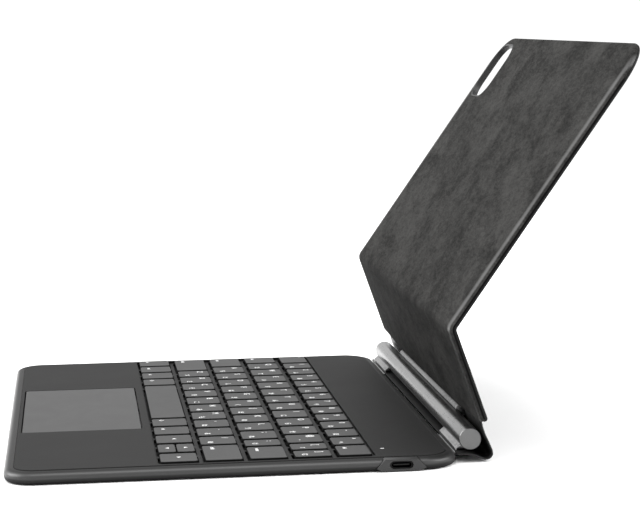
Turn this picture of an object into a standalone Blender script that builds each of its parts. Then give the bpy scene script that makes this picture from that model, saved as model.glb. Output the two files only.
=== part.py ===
"""Tablet keyboard case: slim base with keys and trackpad, and a two-panel lid on a barrel hinge.

Frame: +X to the user's right, +Y to the rear, +Z up, metres. The origin is the centre of the
overall box at table height. The lid is modelled open, as it stands in use.
"""
import math

import bmesh
import bpy
from mathutils import Matrix, Vector

MM = 0.001

# ---------------------------------------------------------------- driving dimensions (mm, degrees)
BASE_W = 245.0            # base width over the rim
BASE_D = 179.9            # base depth, front edge to rear edge
BASE_H = 5.2              # table to deck surface
FRONT_CORNER_R = 12.0     # front corners of the base
REAR_CORNER_R = 15.0      # rear corners of the base
RIM_W = 4.0               # width of the rounded rim outside the deck plate
FLOOR_T = 0.9             # bottom skin of the base shell
DECK_T = 0.9              # deck plate thickness
KEY_PROUD = 0.6           # key tops above the deck
KEY_CAP_T = 1.3           # thickness of a key cap
KEY_TRAVEL = 1.0          # key travel
KEY_GAP = 2.75            # web width between neighbouring keys in a row
ROW_GAP = 3.05            # web width between two rows
KEY_CORNER_R = 1.3        # corner radius of a key cap
KEY_EDGE = 0.28           # chamfer round the top of a key cap
KEY_FIT = 0.35            # clearance between a key cap and its pocket in the tray
STEM_R = 1.5              # plunger under a key cap
STEM_H = 0.35             # length of the plunger
TRAY_FLOOR_T = 0.8        # floor of the tray under the key pockets
TRAY_ROOM = 0.45          # space left under a pressed plunger
TRAY_LAP = 2.4            # tray in front of the first row and behind the last one
FRONT_TO_KEYS = 61.2      # base front edge to the front edge of the first key row
NUMBER_ROW_SHARE = 0.885  # depth of the rear row's keys compared with the others
PAD_W = 94.6              # trackpad width
PAD_D = 50.3              # trackpad depth
PAD_FRONT = 5.9           # base front edge to the trackpad
PAD_T = 1.2               # trackpad plate thickness
LID_OVERHANG = 1.0        # lid beyond the base on each side
LID_T = 2.9               # lid panel thickness
LINING_T = 0.6            # lining thickness
LID_CORNER_R = 18.0       # free corners of the upper panel
LID_EDGE = 2.8            # width of the rolled lid edge round the lining
LOWER_LEN = 48.0          # barrel axis to crease, along the lower panel
UPPER_LEN = 135.0         # crease to the free edge of the upper panel
LOWER_ANGLE = 109.2       # lower panel, measured from the rear horizontal
UPPER_ANGLE = 54.8        # upper panel, measured from the rear horizontal
FOLD_HALF = 3.0           # flexible length on each side of the crease
BARREL_R = 4.55           # barrel radius
BARREL_INSET = 13.5       # flat end of the barrel, inside the side of the base
BARREL_REAR = 6.2         # barrel axis behind the rear edge of the base
BARREL_RISE = 3.6         # barrel axis above the deck
PIN_R = 1.84              # friction pin radius
PIN_FIT = 0.06            # radial clearance between pin and bore
PIN_GRIP = 27.0           # length of the pin inside the middle tube
END_WALL = 5.0            # solid end of the barrel outside the pin's bore
KNUCKLE_FROM_END = 3.0    # outer side of a knuckle, inside the barrel's end
TONGUE_REACH = 12.0       # knuckle tongue, from the barrel axis into the base
TONGUE_T = 1.0            # thickness of the tongue
CAM_HALF = 14.9           # half size of the camera cut-out
CAM_CORNER_R = 9.0        # corner radius of the camera cut-out
CAM_FROM_SIDE = 20.5      # cut-out centre from the left edge of the lid
CAM_FROM_TOP = 20.2       # cut-out centre from the free edge of the lid
CAM_WALL = 0.6            # wall of the cut-out trim
SPINE_T = 0.9             # thickness of the flexible spine
SPINE_INSET = 10.5        # side of the flexible spine, inside the side of the base
LEAF_LEN = 17.5           # bracket leaf, from the barrel axis up into the lower panel
LEAF_T = 0.8              # thickness of the bracket leaf
LIP_TURN = 50.0           # angle that the bracket's saddle wraps round the barrel
LINING_FOOT = 5.2         # lower edge of the lining above the bracket, from the barrel axis
PORT_LEN = 20.0           # longest part of the port housing
PORT_HEAD = 13.3          # port housing length at its top
PORT_HEEL = 16.0          # port housing length at its underside
PORT_KNEE = 1.3           # height of its longest part
PORT_PROUD = 0.8          # port housing face outside the rim
PORT_FROM_KEYS = 10.5     # middle of the port, behind the last key row
LAMP_INSET = 11.9         # status lamp, inside the end of the key block
LAMP_FROM_KEYS = 5.8      # status lamp, behind the last key row
LEDGE_W = 1.0             # ledge of the base shell under the deck plate's edge
KEY_MARGIN = 3.1          # deck web between the rim and the key block
KEY_HOLE_EDGE = 1.3       # key opening in the deck, outside the key block
BOARD_W = 48.0            # circuit board width
BOARD_D = 8.5             # circuit board depth
BOARD_T = 0.8             # circuit board thickness
CARRIER_INSET = 35.5      # magnet carrier, inside the sides of the lid
CARRIER_FOOT = 18.0       # magnet carrier, from the crease
CARRIER_TOP = 14.0        # magnet carrier, below the camera cut-out
CARRIER_BAND = 18.0       # width of the carrier's bands
CARRIER_T = 0.8           # thickness of the carrier
GAP = 0.3                 # clearance between neighbouring pieces

# ---------------------------------------------------------------- derived sizes
HALF_W = BASE_W / 2
LID_HALF = HALF_W + LID_OVERHANG
BARREL_Z = BASE_H + BARREL_RISE
BARREL_HALF = HALF_W - BARREL_INSET
KNUCKLE_IN = BARREL_HALF * 0.66
KNUCKLE_OUT = BARREL_HALF - KNUCKLE_FROM_END
BRACKET_HALF = KNUCKLE_IN - 1.0
SPINE_HALF_W = HALF_W - SPINE_INSET
TONGUE_TOP = BARREL_Z - BARREL_R - 0.95
DECK_BOTTOM = BASE_H - DECK_T
KEY_TOP = BASE_H + KEY_PROUD
KEY_BOTTOM = KEY_TOP - KEY_CAP_T
BED_TOP = KEY_BOTTOM - STEM_H - KEY_TRAVEL - TRAY_ROOM
TRAY_TOP = DECK_BOTTOM - GAP
FACE_OFFSET = BARREL_R + 0.1
KEY_BLOCK_HALF = HALF_W - RIM_W - KEY_MARGIN
BED_EDGE = KEY_MARGIN - LEDGE_W - GAP - 0.1
UNIT = 2 * KEY_BLOCK_HALF / 13.40
ROW_PITCH = 1.03 * UNIT
KEY_DEPTH = ROW_PITCH - ROW_GAP
LEAF_FRONT = FACE_OFFSET + LINING_T + 2 * GAP
LEAF_BACK = LEAF_FRONT + LEAF_T

LOWER_DIR = Vector((0, math.cos(math.radians(LOWER_ANGLE)), math.sin(math.radians(LOWER_ANGLE))))
LOWER_NORMAL = Vector((1, 0, 0)).cross(LOWER_DIR)
UPPER_DIR = Vector((0, math.cos(math.radians(UPPER_ANGLE)), math.sin(math.radians(UPPER_ANGLE))))
UPPER_NORMAL = Vector((1, 0, 0)).cross(UPPER_DIR)


def panel_profile(back, face):
    """Rolled edge of a lid panel as (inset, height) pairs."""
    thick = face - back
    return [
        (1.0, back), (0.35, back + 0.09 * thick), (0.0, back + 0.32 * thick),
        (0.0, back + 0.66 * thick), (0.3, back + 0.88 * thick), (0.9, back + 0.98 * thick), (1.6, face),
    ]


# The box's middle sits at Y = 0, so the base's front edge goes to -reach / 2.
CREASE_RISE = LOWER_DIR * LOWER_LEN - LOWER_NORMAL * (FACE_OFFSET + LID_T / 2)
TOP_Y = max(
    UPPER_DIR.y * (UPPER_LEN - inset) + UPPER_NORMAL.y * z
    for inset, z in panel_profile(-LID_T / 2, LID_T / 2)
)
FRONT_Y = -(BASE_D + BARREL_REAR + CREASE_RISE.y + TOP_Y) / 2
REAR_Y = FRONT_Y + BASE_D
BARREL = Vector((0, REAR_Y + BARREL_REAR, BARREL_Z))
CREASE = BARREL + CREASE_RISE
BASE_MID_Y = FRONT_Y + BASE_D / 2
KEYS_Y = FRONT_Y + FRONT_TO_KEYS
KEYS_REAR_Y = KEYS_Y + 4 * ROW_PITCH + KEY_DEPTH * NUMBER_ROW_SHARE
PORT_Y = KEYS_REAR_Y + PORT_FROM_KEYS
PAD_REAR_Y = FRONT_Y + PAD_FRONT + PAD_D


# ---------------------------------------------------------------- helpers
def clear_scene():
    for thing in list(bpy.data.objects):
        bpy.data.objects.remove(thing, do_unlink=True)


def srgb(value):
    """Linear value of one 0-255 display value."""
    share = value / 255
    return share / 12.92 if share <= 0.04045 else ((share + 0.055) / 1.055) ** 2.4


def material(name, rgb, roughness, metallic=0.0):
    mat = bpy.data.materials.new(name)
    mat.use_nodes = True
    shader = mat.node_tree.nodes["Principled BSDF"]
    shader.inputs["Base Color"].default_value = (*[srgb(v) for v in rgb], 1.0)
    shader.inputs["Roughness"].default_value = roughness
    shader.inputs["Metallic"].default_value = metallic
    mat.diffuse_color = (*[srgb(v) for v in rgb], 1.0)
    return mat


def add_object(name, bm, mat, origin=(0, 0, 0)):
    """Turn millimetre geometry in the world frame into an object with the given origin."""
    origin = Vector(origin)
    bmesh.ops.recalc_face_normals(bm, faces=bm.faces)
    for vert in bm.verts:
        vert.co = (vert.co - origin) * MM
    mesh = bpy.data.meshes.new(name)
    bm.to_mesh(mesh)
    bm.free()
    obj = bpy.data.objects.new(name, mesh)
    obj.location = origin * MM
    bpy.context.scene.collection.objects.link(obj)
    if mat is not None:
        mesh.materials.append(mat)
    return obj


def rounded_rect(half_x, y0, y1, front_r, rear_r, inset=0.0, steps=6, mid_x=0.0):
    """Counter-clockwise outline; each corner radius shrinks with the inset."""
    corners = ((1, y0, front_r, -90), (1, y1, rear_r, 0), (-1, y1, rear_r, 90), (-1, y0, front_r, 180))
    room = min(half_x, (y1 - y0) / 2) - inset - 0.02
    points = []
    for side, y_edge, radius, start in corners:
        radius = min(max(radius - inset, 0.05), room)
        y_in = inset + radius if y_edge == y0 else -(inset + radius)
        centre_x = mid_x + side * (half_x - inset - radius)
        for k in range(steps + 1):
            turn = math.radians(start + 90 * k / steps)
            points.append((centre_x + radius * math.cos(turn), y_edge + y_in + radius * math.sin(turn)))
    return points


def loft(rings):
    """Closed skin through rings of equal point count, capped at both ends."""
    bm = bmesh.new()
    loops = [[bm.verts.new(p) for p in ring] for ring in rings]
    count = len(loops[0])
    for low, high in zip(loops, loops[1:]):
        for k in range(count):
            nxt = (k + 1) % count
            bm.faces.new((low[k], low[nxt], high[nxt], high[k]))
    bm.faces.new(list(reversed(loops[0])))
    bm.faces.new(loops[-1])
    return bm


def slab(half_x, y0, y1, front_r, rear_r, profile, steps=6, mid_x=0.0):
    """Loft of a rounded rectangle through (inset, height) pairs."""
    rings = []
    for inset, z in profile:
        outline = rounded_rect(half_x, y0, y1, front_r, rear_r, inset, steps, mid_x)
        rings.append([Vector((x, y, z)) for x, y in outline])
    return loft(rings)


def extrude_x(points, x0, x1, edge=0.0, mid=None):
    """Run a (y, z) outline along X; `edge` rounds both ends towards the `mid` line."""
    stations = [(x0, 0.0), (x1, 0.0)]
    if edge:
        stations = [(x0, 0.55), (x0 + 0.35 * edge, 0.2), (x0 + edge, 0.0)]
        stations += [(x1 - edge, 0.0), (x1 - 0.35 * edge, 0.2), (x1, 0.55)]
    rings = []
    for x, share in stations:
        ring = []
        for k, point in enumerate(points):
            point = Vector(point)
            if share:
                point = point.lerp(Vector(mid[k]), share)
            ring.append(Vector((x, point.x, point.y)))
        rings.append(ring)
    return loft(rings)


def cylinder_x(radius, x0, x1, centre, segments=32, chamfer0=0.0, chamfer1=0.0):
    """Round bar along X with optional chamfers at its two ends."""
    stations = [(x0, radius - chamfer0)] if chamfer0 else [(x0, radius)]
    if chamfer0:
        stations.append((x0 + chamfer0, radius))
    if chamfer1:
        stations.append((x1 - chamfer1, radius))
    stations.append((x1, radius - chamfer1))
    rings = []
    for x, r in stations:
        turns = [2 * math.pi * k / segments for k in range(segments)]
        rings.append([Vector((x, centre.y + r * math.cos(t), centre.z + r * math.sin(t))) for t in turns])
    return loft(rings)


def box(x0, x1, y0, y1, z0, z1):
    return loft([[Vector((x0, y0, z)), Vector((x1, y0, z)), Vector((x1, y1, z)), Vector((x0, y1, z))]
                 for z in (z0, z1)])


def place(bm, origin, direction):
    """Stand panel geometry up: local Y runs along the panel, local Z is its inner-face normal."""
    normal = Vector((1, 0, 0)).cross(direction)
    matrix = Matrix((
        (1, 0, 0, origin.x),
        (0, direction.y, normal.y, origin.y),
        (0, direction.z, normal.z, origin.z),
        (0, 0, 0, 1),
    ))
    bmesh.ops.transform(bm, matrix=matrix, verts=bm.verts)
    return bm


def merge(target, *others):
    """Add separate shells to one mesh."""
    for other in others:
        mesh = bpy.data.meshes.new("merge_tmp")
        other.to_mesh(mesh)
        other.free()
        target.from_mesh(mesh)
        bpy.data.meshes.remove(mesh)
    return target


def boolean(obj, cutter_bm, operation="DIFFERENCE"):
    """Apply one exact Boolean; the cutter is removed afterwards."""
    cutter = add_object("cutter", cutter_bm, None)
    cutter.hide_render = True
    cutter.display_type = "WIRE"
    mod = obj.modifiers.new("cut", "BOOLEAN")
    mod.operation = operation
    mod.solver = "EXACT"
    mod.object = cutter
    bpy.context.view_layer.update()
    graph = bpy.context.evaluated_depsgraph_get()
    mesh = bpy.data.meshes.new_from_object(obj.evaluated_get(graph))
    obj.modifiers.clear()
    old = obj.data
    mesh.name = old.name
    obj.data = mesh
    bpy.data.meshes.remove(old)
    bpy.data.objects.remove(cutter, do_unlink=True)
    clean = bmesh.new()
    clean.from_mesh(mesh)
    bmesh.ops.remove_doubles(clean, verts=clean.verts, dist=0.000002)
    clean.to_mesh(mesh)
    clean.free()
    return obj


# ---------------------------------------------------------------- materials
def make_materials():
    return {
        "shell": material("soft_shell", (66, 66, 66), 0.62),
        "deck": material("soft_deck", (80, 80, 80), 0.6),
        "pad": material("trackpad_glass", (118, 118, 118), 0.45),
        "key": material("key_plastic", (112, 112, 113), 0.55),
        "bed": material("key_bed_plastic", (22, 22, 23), 0.7),
        "alu": material("satin_aluminium", (190, 190, 192), 0.3, 1.0),
        "steel": material("bright_steel", (200, 200, 200), 0.25, 1.0),
        "skin": material("lid_skin", (46, 46, 46), 0.6),
        "lining": material("lid_lining", (78, 79, 76), 0.8),
        "spine": material("spine_rubber", (16, 16, 16), 0.65),
        "board": material("circuit_board", (26, 62, 44), 0.5),
        "led": material("status_lamp", (236, 236, 232), 0.4),
    }


# ---------------------------------------------------------------- base
def build_base_shell(mats):
    top = BASE_H - 0.2
    profile = [
        (2.2, 0.0), (1.2, 0.14), (0.5, 0.6), (0.12, 1.4), (0.0, BASE_H * 0.47),
        (0.12, BASE_H * 0.64), (0.5, top - 1.0), (1.1, top - 0.45), (2.0, top - 0.12),
        (3.0, top), (RIM_W - GAP, top), (RIM_W - GAP, DECK_BOTTOM - GAP),
        (RIM_W + LEDGE_W, DECK_BOTTOM - GAP), (RIM_W + LEDGE_W, FLOOR_T),
    ]
    bm = slab(HALF_W, FRONT_Y, REAR_Y, FRONT_CORNER_R, REAR_CORNER_R, profile, steps=7)
    shell = add_object("base_shell", bm, mats["shell"])
    slots = None
    for side in (-1, 1):
        x_in, x_out = side * (KNUCKLE_IN - GAP), side * (KNUCKLE_OUT + GAP)
        slot = box(min(x_in, x_out), max(x_in, x_out), REAR_Y - RIM_W - LEDGE_W - 1.0, REAR_Y + 2.0,
                   TONGUE_TOP - TONGUE_T - GAP, TONGUE_TOP + GAP)
        slots = slot if slots is None else merge(slots, slot)
    boolean(shell, slots)
    boolean(shell, port_prism(GAP, HALF_W - RIM_W + 0.1, HALF_W + 5.0, over=1.0))
    socket_z = (FLOOR_T + DECK_BOTTOM) / 2
    boolean(shell, stadium_x(4.75, (DECK_BOTTOM - FLOOR_T) / 2 - 0.1, HALF_W - RIM_W - 4.0, HALF_W,
                             PORT_Y, socket_z))
    return shell


def port_prism(grow, x0, x1, over=0.0):
    """Six-sided block seen from the side, longest just above its foot, run along X."""
    z0, z1 = 0.2 - grow, BASE_H - 0.25 + grow
    side = [(PORT_HEEL / 2 + grow, z0), (PORT_LEN / 2 + grow, PORT_KNEE), (PORT_HEAD / 2 + grow, z1)]
    if over:
        side = [(side[0][0], z0 - over)] + side + [(side[-1][0], z1 + over)]
    points = [(PORT_Y + y, z) for y, z in side] + [(PORT_Y - y, z) for y, z in reversed(side)]
    return extrude_x(points, x0, x1)


def stadium_x(half_y, half_z, x0, x1, mid_y, mid_z, steps=8):
    """Slot outline with round ends, run along X."""
    points = []
    for side, start in ((1, -90), (-1, 90)):
        for k in range(steps + 1):
            turn = math.radians(start + 180 * k / steps)
            points.append((mid_y + side * (half_y - half_z) + half_z * math.cos(turn),
                           mid_z + half_z * math.sin(turn)))
    return extrude_x(points, x0, x1)


def build_port(mats):
    x0, x1 = HALF_W - RIM_W + 0.1 + GAP, HALF_W + PORT_PROUD
    z_mid = (FLOOR_T + DECK_BOTTOM) / 2
    high = (DECK_BOTTOM - FLOOR_T) / 2 - 0.2
    housing = add_object("port_housing", port_prism(0.0, x0, x1), mats["shell"])
    bevel = housing.modifiers.new("edge", "BEVEL")
    bevel.width = 0.35 * MM
    bevel.segments = 2
    bake(housing)
    boolean(housing, stadium_x(4.6, high + 0.1, x0 - 1.0, x1 + 1.0, PORT_Y, z_mid))
    back = HALF_W - RIM_W - 3.6
    sleeve = stadium_x(4.35, high - 0.1, back, x1 - 0.5, PORT_Y, z_mid)
    socket = add_object("usb_socket", sleeve, mats["steel"])
    boolean(socket, stadium_x(4.0, high - 0.4, back + 1.0, x1 + 1.0, PORT_Y, z_mid))
    tongue = box(back + 0.5, x1 - 1.4, PORT_Y - 3.2, PORT_Y + 3.2, z_mid - 0.35, z_mid + 0.35)
    boolean(socket, tongue, "UNION")


def bake(obj):
    """Apply every modifier of an object."""
    bpy.context.view_layer.update()
    graph = bpy.context.evaluated_depsgraph_get()
    mesh = bpy.data.meshes.new_from_object(obj.evaluated_get(graph))
    obj.modifiers.clear()
    old = obj.data
    mesh.name = old.name
    obj.data = mesh
    bpy.data.meshes.remove(old)


def build_deck(mats):
    inset = RIM_W
    profile = [(inset, DECK_BOTTOM), (inset, BASE_H - 0.25), (inset + 0.25, BASE_H)]
    bm = slab(HALF_W, FRONT_Y, REAR_Y, FRONT_CORNER_R, REAR_CORNER_R, profile, steps=7)
    deck = add_object("deck_plate", bm, mats["deck"])
    edge = KEY_HOLE_EDGE
    keys = slab(KEY_BLOCK_HALF + edge, KEYS_Y - edge, KEYS_REAR_Y + edge, 2.4, 2.4, [(0, 0.0), (0, 9.0)], 5)
    boolean(deck, keys)
    pad = slab(PAD_W / 2 + 0.4, PAD_REAR_Y - PAD_D - 0.4, PAD_REAR_Y + 0.4, 3.4, 3.4, [(0, 0.0), (0, 9.0)], 5)
    boolean(deck, pad)
    boolean(deck, lamp_outline(GAP, 0.0, 9.0))


def lamp_outline(grow, z0, z1):
    x_mid = KEY_BLOCK_HALF - LAMP_INSET
    y_mid = KEYS_REAR_Y + LAMP_FROM_KEYS
    half_x, half_y = 0.35 + grow, 0.8 + grow
    return slab(half_x, y_mid - half_y, y_mid + half_y, half_x, half_x, [(0, z0), (0, z1)], 4, x_mid)


def build_base_inside(mats):
    add_object("status_led", lamp_outline(0.0, DECK_BOTTOM, BASE_H - 0.02), mats["led"])
    plate = slab(KEY_BLOCK_HALF - 6.0, KEYS_Y - 26.0, KEYS_REAR_Y - 4.0, 4.0, 4.0,
                 [(0, FLOOR_T + 0.1), (0, BED_TOP - TRAY_FLOOR_T - GAP)], 3)
    add_object("ballast_plate", plate, mats["steel"])

    board_x1 = HALF_W - RIM_W - 3.6 - GAP
    y0 = KEYS_REAR_Y + TRAY_LAP + GAP
    z0 = FLOOR_T + 0.2
    z1 = z0 + BOARD_T
    board = slab(BOARD_W / 2, y0, y0 + BOARD_D, 1.5, 1.5, [(0, z0), (0, z1)], 3, board_x1 - BOARD_W / 2)
    board = add_object("main_board", board, mats["board"])
    chips = None
    for from_end, size in ((0.28, 5.5), (0.62, 4.5), (0.86, 3.5)):
        mid = board_x1 - BOARD_W * from_end
        chip = box(mid - size / 2, mid + size / 2, y0 + 0.8, y0 + 0.8 + size, z1 - 0.4, z1 + 0.7)
        chips = chip if chips is None else merge(chips, chip)
    boolean(board, chips, "UNION")

    pad_front = PAD_REAR_Y - PAD_D
    switch = box(-9, 9, pad_front + 5, pad_front + 15, FLOOR_T + 0.2, FLOOR_T + 1.2)
    switch = add_object("trackpad_switch", switch, mats["bed"])
    drop = math.sin(math.radians(0.7)) * (PAD_D - 10)
    top = BASE_H - 0.05 - PAD_T - drop - 0.15
    button = slab(2.5, pad_front + 7.5, pad_front + 12.5, 2.5, 2.5,
                  [(0, FLOOR_T + 0.8), (0, top - 0.3), (0.5, top)], 4)
    boolean(switch, button, "UNION")


def build_trackpad(mats):
    top = BASE_H - 0.05
    y0, y1 = PAD_REAR_Y - PAD_D, PAD_REAR_Y
    origin = (0, y1, top - PAD_T)
    profile = [(0.3, top - PAD_T), (0, top - PAD_T + 0.3), (0, top - 0.2), (0.2, top)]
    bm = slab(PAD_W / 2, y0, y1, 3.0, 3.0, profile, 5)
    add_object("trackpad_plate", bm, mats["pad"], origin)


# ---------------------------------------------------------------- keys
def key_rows():
    """Rows of (name, left, right) in key pitches; the block runs from 0 to 13.4."""
    wide = 1.0
    gap = KEY_GAP / UNIT
    cap = wide - gap

    def run(names, first_right, pitch=1.0, width=None):
        width = pitch - gap if width is None else width
        return [(n, first_right + k * pitch - width, first_right + k * pitch) for k, n in enumerate(names)]

    row1 = run(("fn", "control", "alt_left", "meta_left"), 0.81, width=cap)
    row1 += [("space", 3.81 + gap, 8.37)]
    row1 += run(("meta_right", "alt_right", "arrow_left"), 9.37, width=cap)
    row1 += run(("arrow_up", "arrow_right"), 12.385, 1.015, width=cap)
    row1 += [("arrow_down", 12.385 - cap, 12.385)]
    row2 = [("shift_left", 0.0, 1.70)]
    row2 += run(("z", "x", "c", "v", "b", "n", "m", "comma", "period", "slash"), 2.70)
    row2 += [("shift_right", 11.70 + gap, 13.40)]
    row3 = [("caps", 0.0, 1.25)]
    row3 += run(("a", "s", "d", "f", "g", "h", "j", "k", "l", "semicolon"), 2.25)
    row3 += [("quote", 11.25 + gap, 12.04), ("enter", 12.04 + gap, 13.40)]
    row4 = [("tab", 0.0, 0.86)] + run(("q", "w", "e", "r", "t", "y", "u", "i", "o", "p", "bracket"), 1.86)
    row4 += [("bracket_right", 11.86 + gap, 12.62), ("backslash", 12.62 + gap, 13.40)]
    names = ["one", "two", "three", "four", "five", "six", "seven", "eight", "nine", "zero"]
    row5 = [("grave", 0.0, 1.0)] + run(names + ["minus", "equals"], 1.936, 0.938)
    row5 += [("delete", 1.936 + 11 * 0.938 + gap, 13.40)]
    return (row1, row2, row3, row4, row5)


def key_places():
    """Every key as (row, name, left, right, front, rear) in mm."""
    places = []
    for row, keys in enumerate(key_rows(), start=1):
        front = KEYS_Y + (row - 1) * ROW_PITCH
        depth = KEY_DEPTH * (NUMBER_ROW_SHARE if row == 5 else 1.0)
        for name, left, right in keys:
            y0, y1 = front, front + depth
            if name == "arrow_up":
                y0 = front + depth / 2 + 0.25
            if name == "arrow_down":
                y1 = front + depth / 2 - 0.25
            x0 = -KEY_BLOCK_HALF + left * UNIT
            x1 = -KEY_BLOCK_HALF + right * UNIT
            places.append((row, name, x0, x1, y0, y1))
    return places


def key_block(x0, x1, y0, y1, foot):
    """One cap with a chamfered top edge."""
    mid, half = (x0 + x1) / 2, (x1 - x0) / 2
    profile = [(0, foot), (0, KEY_TOP - KEY_EDGE), (KEY_EDGE, KEY_TOP)]
    return slab(half, y0, y1, KEY_CORNER_R, KEY_CORNER_R, profile, 2, mid)


def key_pocket(x0, x1, y0, y1):
    """Cutter for the pocket that one cap sinks into."""
    mid, half = (x0 + x1) / 2, (x1 - x0) / 2 + KEY_FIT
    return slab(half, y0 - KEY_FIT, y1 + KEY_FIT, KEY_CORNER_R, KEY_CORNER_R,
                [(0, BED_TOP), (0, TRAY_TOP + 1.0)], 1, mid)


def build_keys(mats):
    """Tray with a web round every key, separate caps in front and fused blocks in the two rear rows."""
    bed = slab(KEY_BLOCK_HALF + BED_EDGE, KEYS_Y - TRAY_LAP, KEYS_REAR_Y + TRAY_LAP, 2.4, 2.4,
               [(0, BED_TOP - TRAY_FLOOR_T), (0, TRAY_TOP)], 3)
    bed = add_object("key_bed", bed, mats["bed"])
    pockets, blocks = None, None
    for row, name, x0, x1, y0, y1 in key_places():
        if name == "arrow_up":
            y0 = KEYS_Y
        if name != "arrow_down":
            pocket = key_pocket(x0, x1, y0, y1)
            pockets = pocket if pockets is None else merge(pockets, pocket)
        if row > 3:
            block = key_block(x0, x1, y0, y1, BED_TOP - 0.3)
            blocks = block if blocks is None else merge(blocks, block)
    boolean(bed, pockets)
    boolean(bed, blocks, "UNION")
    paint_bed_keys(bed, mats["key"])
    for row, name, x0, x1, y0, y1 in key_places():
        if row > 3:
            continue
        mid_x, mid_y = (x0 + x1) / 2, (y0 + y1) / 2
        cap = key_block(x0, x1, y0, y1, KEY_BOTTOM)
        key = add_object("key_" + name, cap, mats["key"], (mid_x, mid_y, KEY_TOP))
        boolean(key, disc(mid_x, mid_y, STEM_R, KEY_BOTTOM - STEM_H, KEY_BOTTOM + 0.3), "UNION")


def paint_bed_keys(bed, key_material):
    """Give the block keys on the bed the key colour."""
    bed.data.materials.append(key_material)
    for face in bed.data.polygons:
        if face.center.z > (TRAY_TOP + 0.1) * MM:
            face.material_index = 1


def disc(x, y, radius, z0, z1, segments=8):
    turns = [2 * math.pi * k / segments for k in range(segments)]
    return loft([[Vector((x + radius * math.cos(t), y + radius * math.sin(t), z)) for t in turns]
                 for z in (z0, z1)])


# ---------------------------------------------------------------- barrel hinge
def build_hinge(mats):
    for side, label in ((-1, "left"), (1, "right")):
        inner, outer = side * (KNUCKLE_IN - 0.15 + GAP), side * BARREL_HALF
        x0, x1 = min(inner, outer), max(inner, outer)
        chamfers = (0.35, 0.0) if side < 0 else (0.0, 0.35)
        bar = cylinder_x(BARREL_R, x0, x1, BARREL, 36, *chamfers)
        end = add_object("hinge_end_" + label, bar, mats["alu"])
        k0, k1 = sorted((side * KNUCKLE_IN + side * GAP, side * KNUCKLE_OUT))
        boolean(end, extrude_x(knuckle_outline(), k0, k1), "UNION")
        bore0, bore1 = sorted((side * (KNUCKLE_IN - 5), side * (BARREL_HALF - END_WALL)))
        boolean(end, cylinder_x(PIN_R + PIN_FIT, bore0, bore1, BARREL, 36))
        pin0, pin1 = sorted((side * (KNUCKLE_IN - PIN_GRIP), side * (BARREL_HALF - END_WALL - GAP)))
        pin = cylinder_x(PIN_R, pin0, pin1, BARREL, 36, 0.3, 0.3)
        add_object("hinge_pin_" + label, pin, mats["steel"], BARREL)


def knuckle_outline():
    """Side view of a knuckle: saddle under the barrel, leg behind the base, tongue into the base."""
    reach = BARREL_REAR - GAP
    low = BARREL_R
    top = TONGUE_TOP - BARREL_Z
    foot = top - TONGUE_T
    points = [
        (-0.6, -low + 0.04), (-reach + 1.0, -low), (-reach + 1.0, foot), (-TONGUE_REACH, foot),
        (-TONGUE_REACH, top), (-reach, top), (-reach, -low + 0.85), (-reach + 0.7, -low + 1.2),
        (-BARREL_R * 0.84, -BARREL_R * 0.46), (-1.0, -1.0),
    ]
    return [(BARREL.y + y, BARREL.z + z) for y, z in points]


def build_barrel_tube(mats):
    half = KNUCKLE_IN - 0.15
    tube = add_object("barrel_tube", cylinder_x(BARREL_R, -half, half, BARREL, 36), mats["alu"], BARREL)
    boolean(tube, cylinder_x(PIN_R + PIN_FIT, -half - 1, half + 1, BARREL, 36))


def build_bracket(mats):
    """Saddle on the barrel, a sloped lip below the lining, and a leaf up inside the lower panel."""
    inner = BARREL_R + GAP
    turns = [math.radians(LIP_TURN * k / 6) for k in range(7)]
    points = [(inner * math.sin(t), -inner * math.cos(t)) for t in turns]
    points += [(LINING_FOOT - GAP, -FACE_OFFSET), (LINING_FOOT - GAP, -LEAF_FRONT)]
    points += [(LEAF_LEN, -LEAF_FRONT), (LEAF_LEN, -LEAF_BACK), (0.0, -LEAF_BACK)]
    bm = extrude_x(points, -BRACKET_HALF, BRACKET_HALF)
    add_object("lid_bracket", place(bm, BARREL, LOWER_DIR), mats["steel"], BARREL)


def spine_paths(share=0.0):
    """Outer and inner lines of the flexible spine as offsets from the barrel axis.

    A share of 1 moves the line out behind the bracket's leaf, and 0 leaves it close to the barrel.
    """
    start = LOWER_DIR * (8.0 - GAP) - LOWER_NORMAL * (FACE_OFFSET + 2.0)
    grow = BARREL_R / 4.55
    curve = [
        (4.3, 7.0), (4.9, 4.6), (5.75, 2.2), (6.75, 0.0), (7.9, -2.6), (8.7, -4.8), (8.6, -6.5),
        (7.4, -7.8), (5.6, -8.1), (3.4, -7.5), (1.2, -6.5), (-1.5, -5.95), (-3.8, -5.82),
    ]
    along, out = Vector(LOWER_DIR.yz), -Vector(LOWER_NORMAL.yz)
    clear = LEAF_BACK + GAP + SPINE_T + 0.05
    outer = []
    for point in [Vector(start.yz)] + [Vector(p) * grow for p in curve]:
        behind = point.dot(out)
        fade = max(0.0, min(1.0, 1.0 + (point.dot(along) + 0.5) / 6.0)) if behind > 3.0 else 0.0
        outer.append(point + out * (share * fade * max(0.0, clear - behind)))
    outer.append(Vector((-BARREL_REAR + GAP, -5.82 * grow)))
    inner = []
    for k, point in enumerate(outer):
        before, after = outer[max(k - 1, 0)], outer[min(k + 1, len(outer) - 1)]
        along = (after - before).normalized()
        if k == len(outer) - 1:
            along = Vector((-1, 0))
        inner.append(point + Vector((along.y, -along.x)) * SPINE_T)
    return outer, inner


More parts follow.
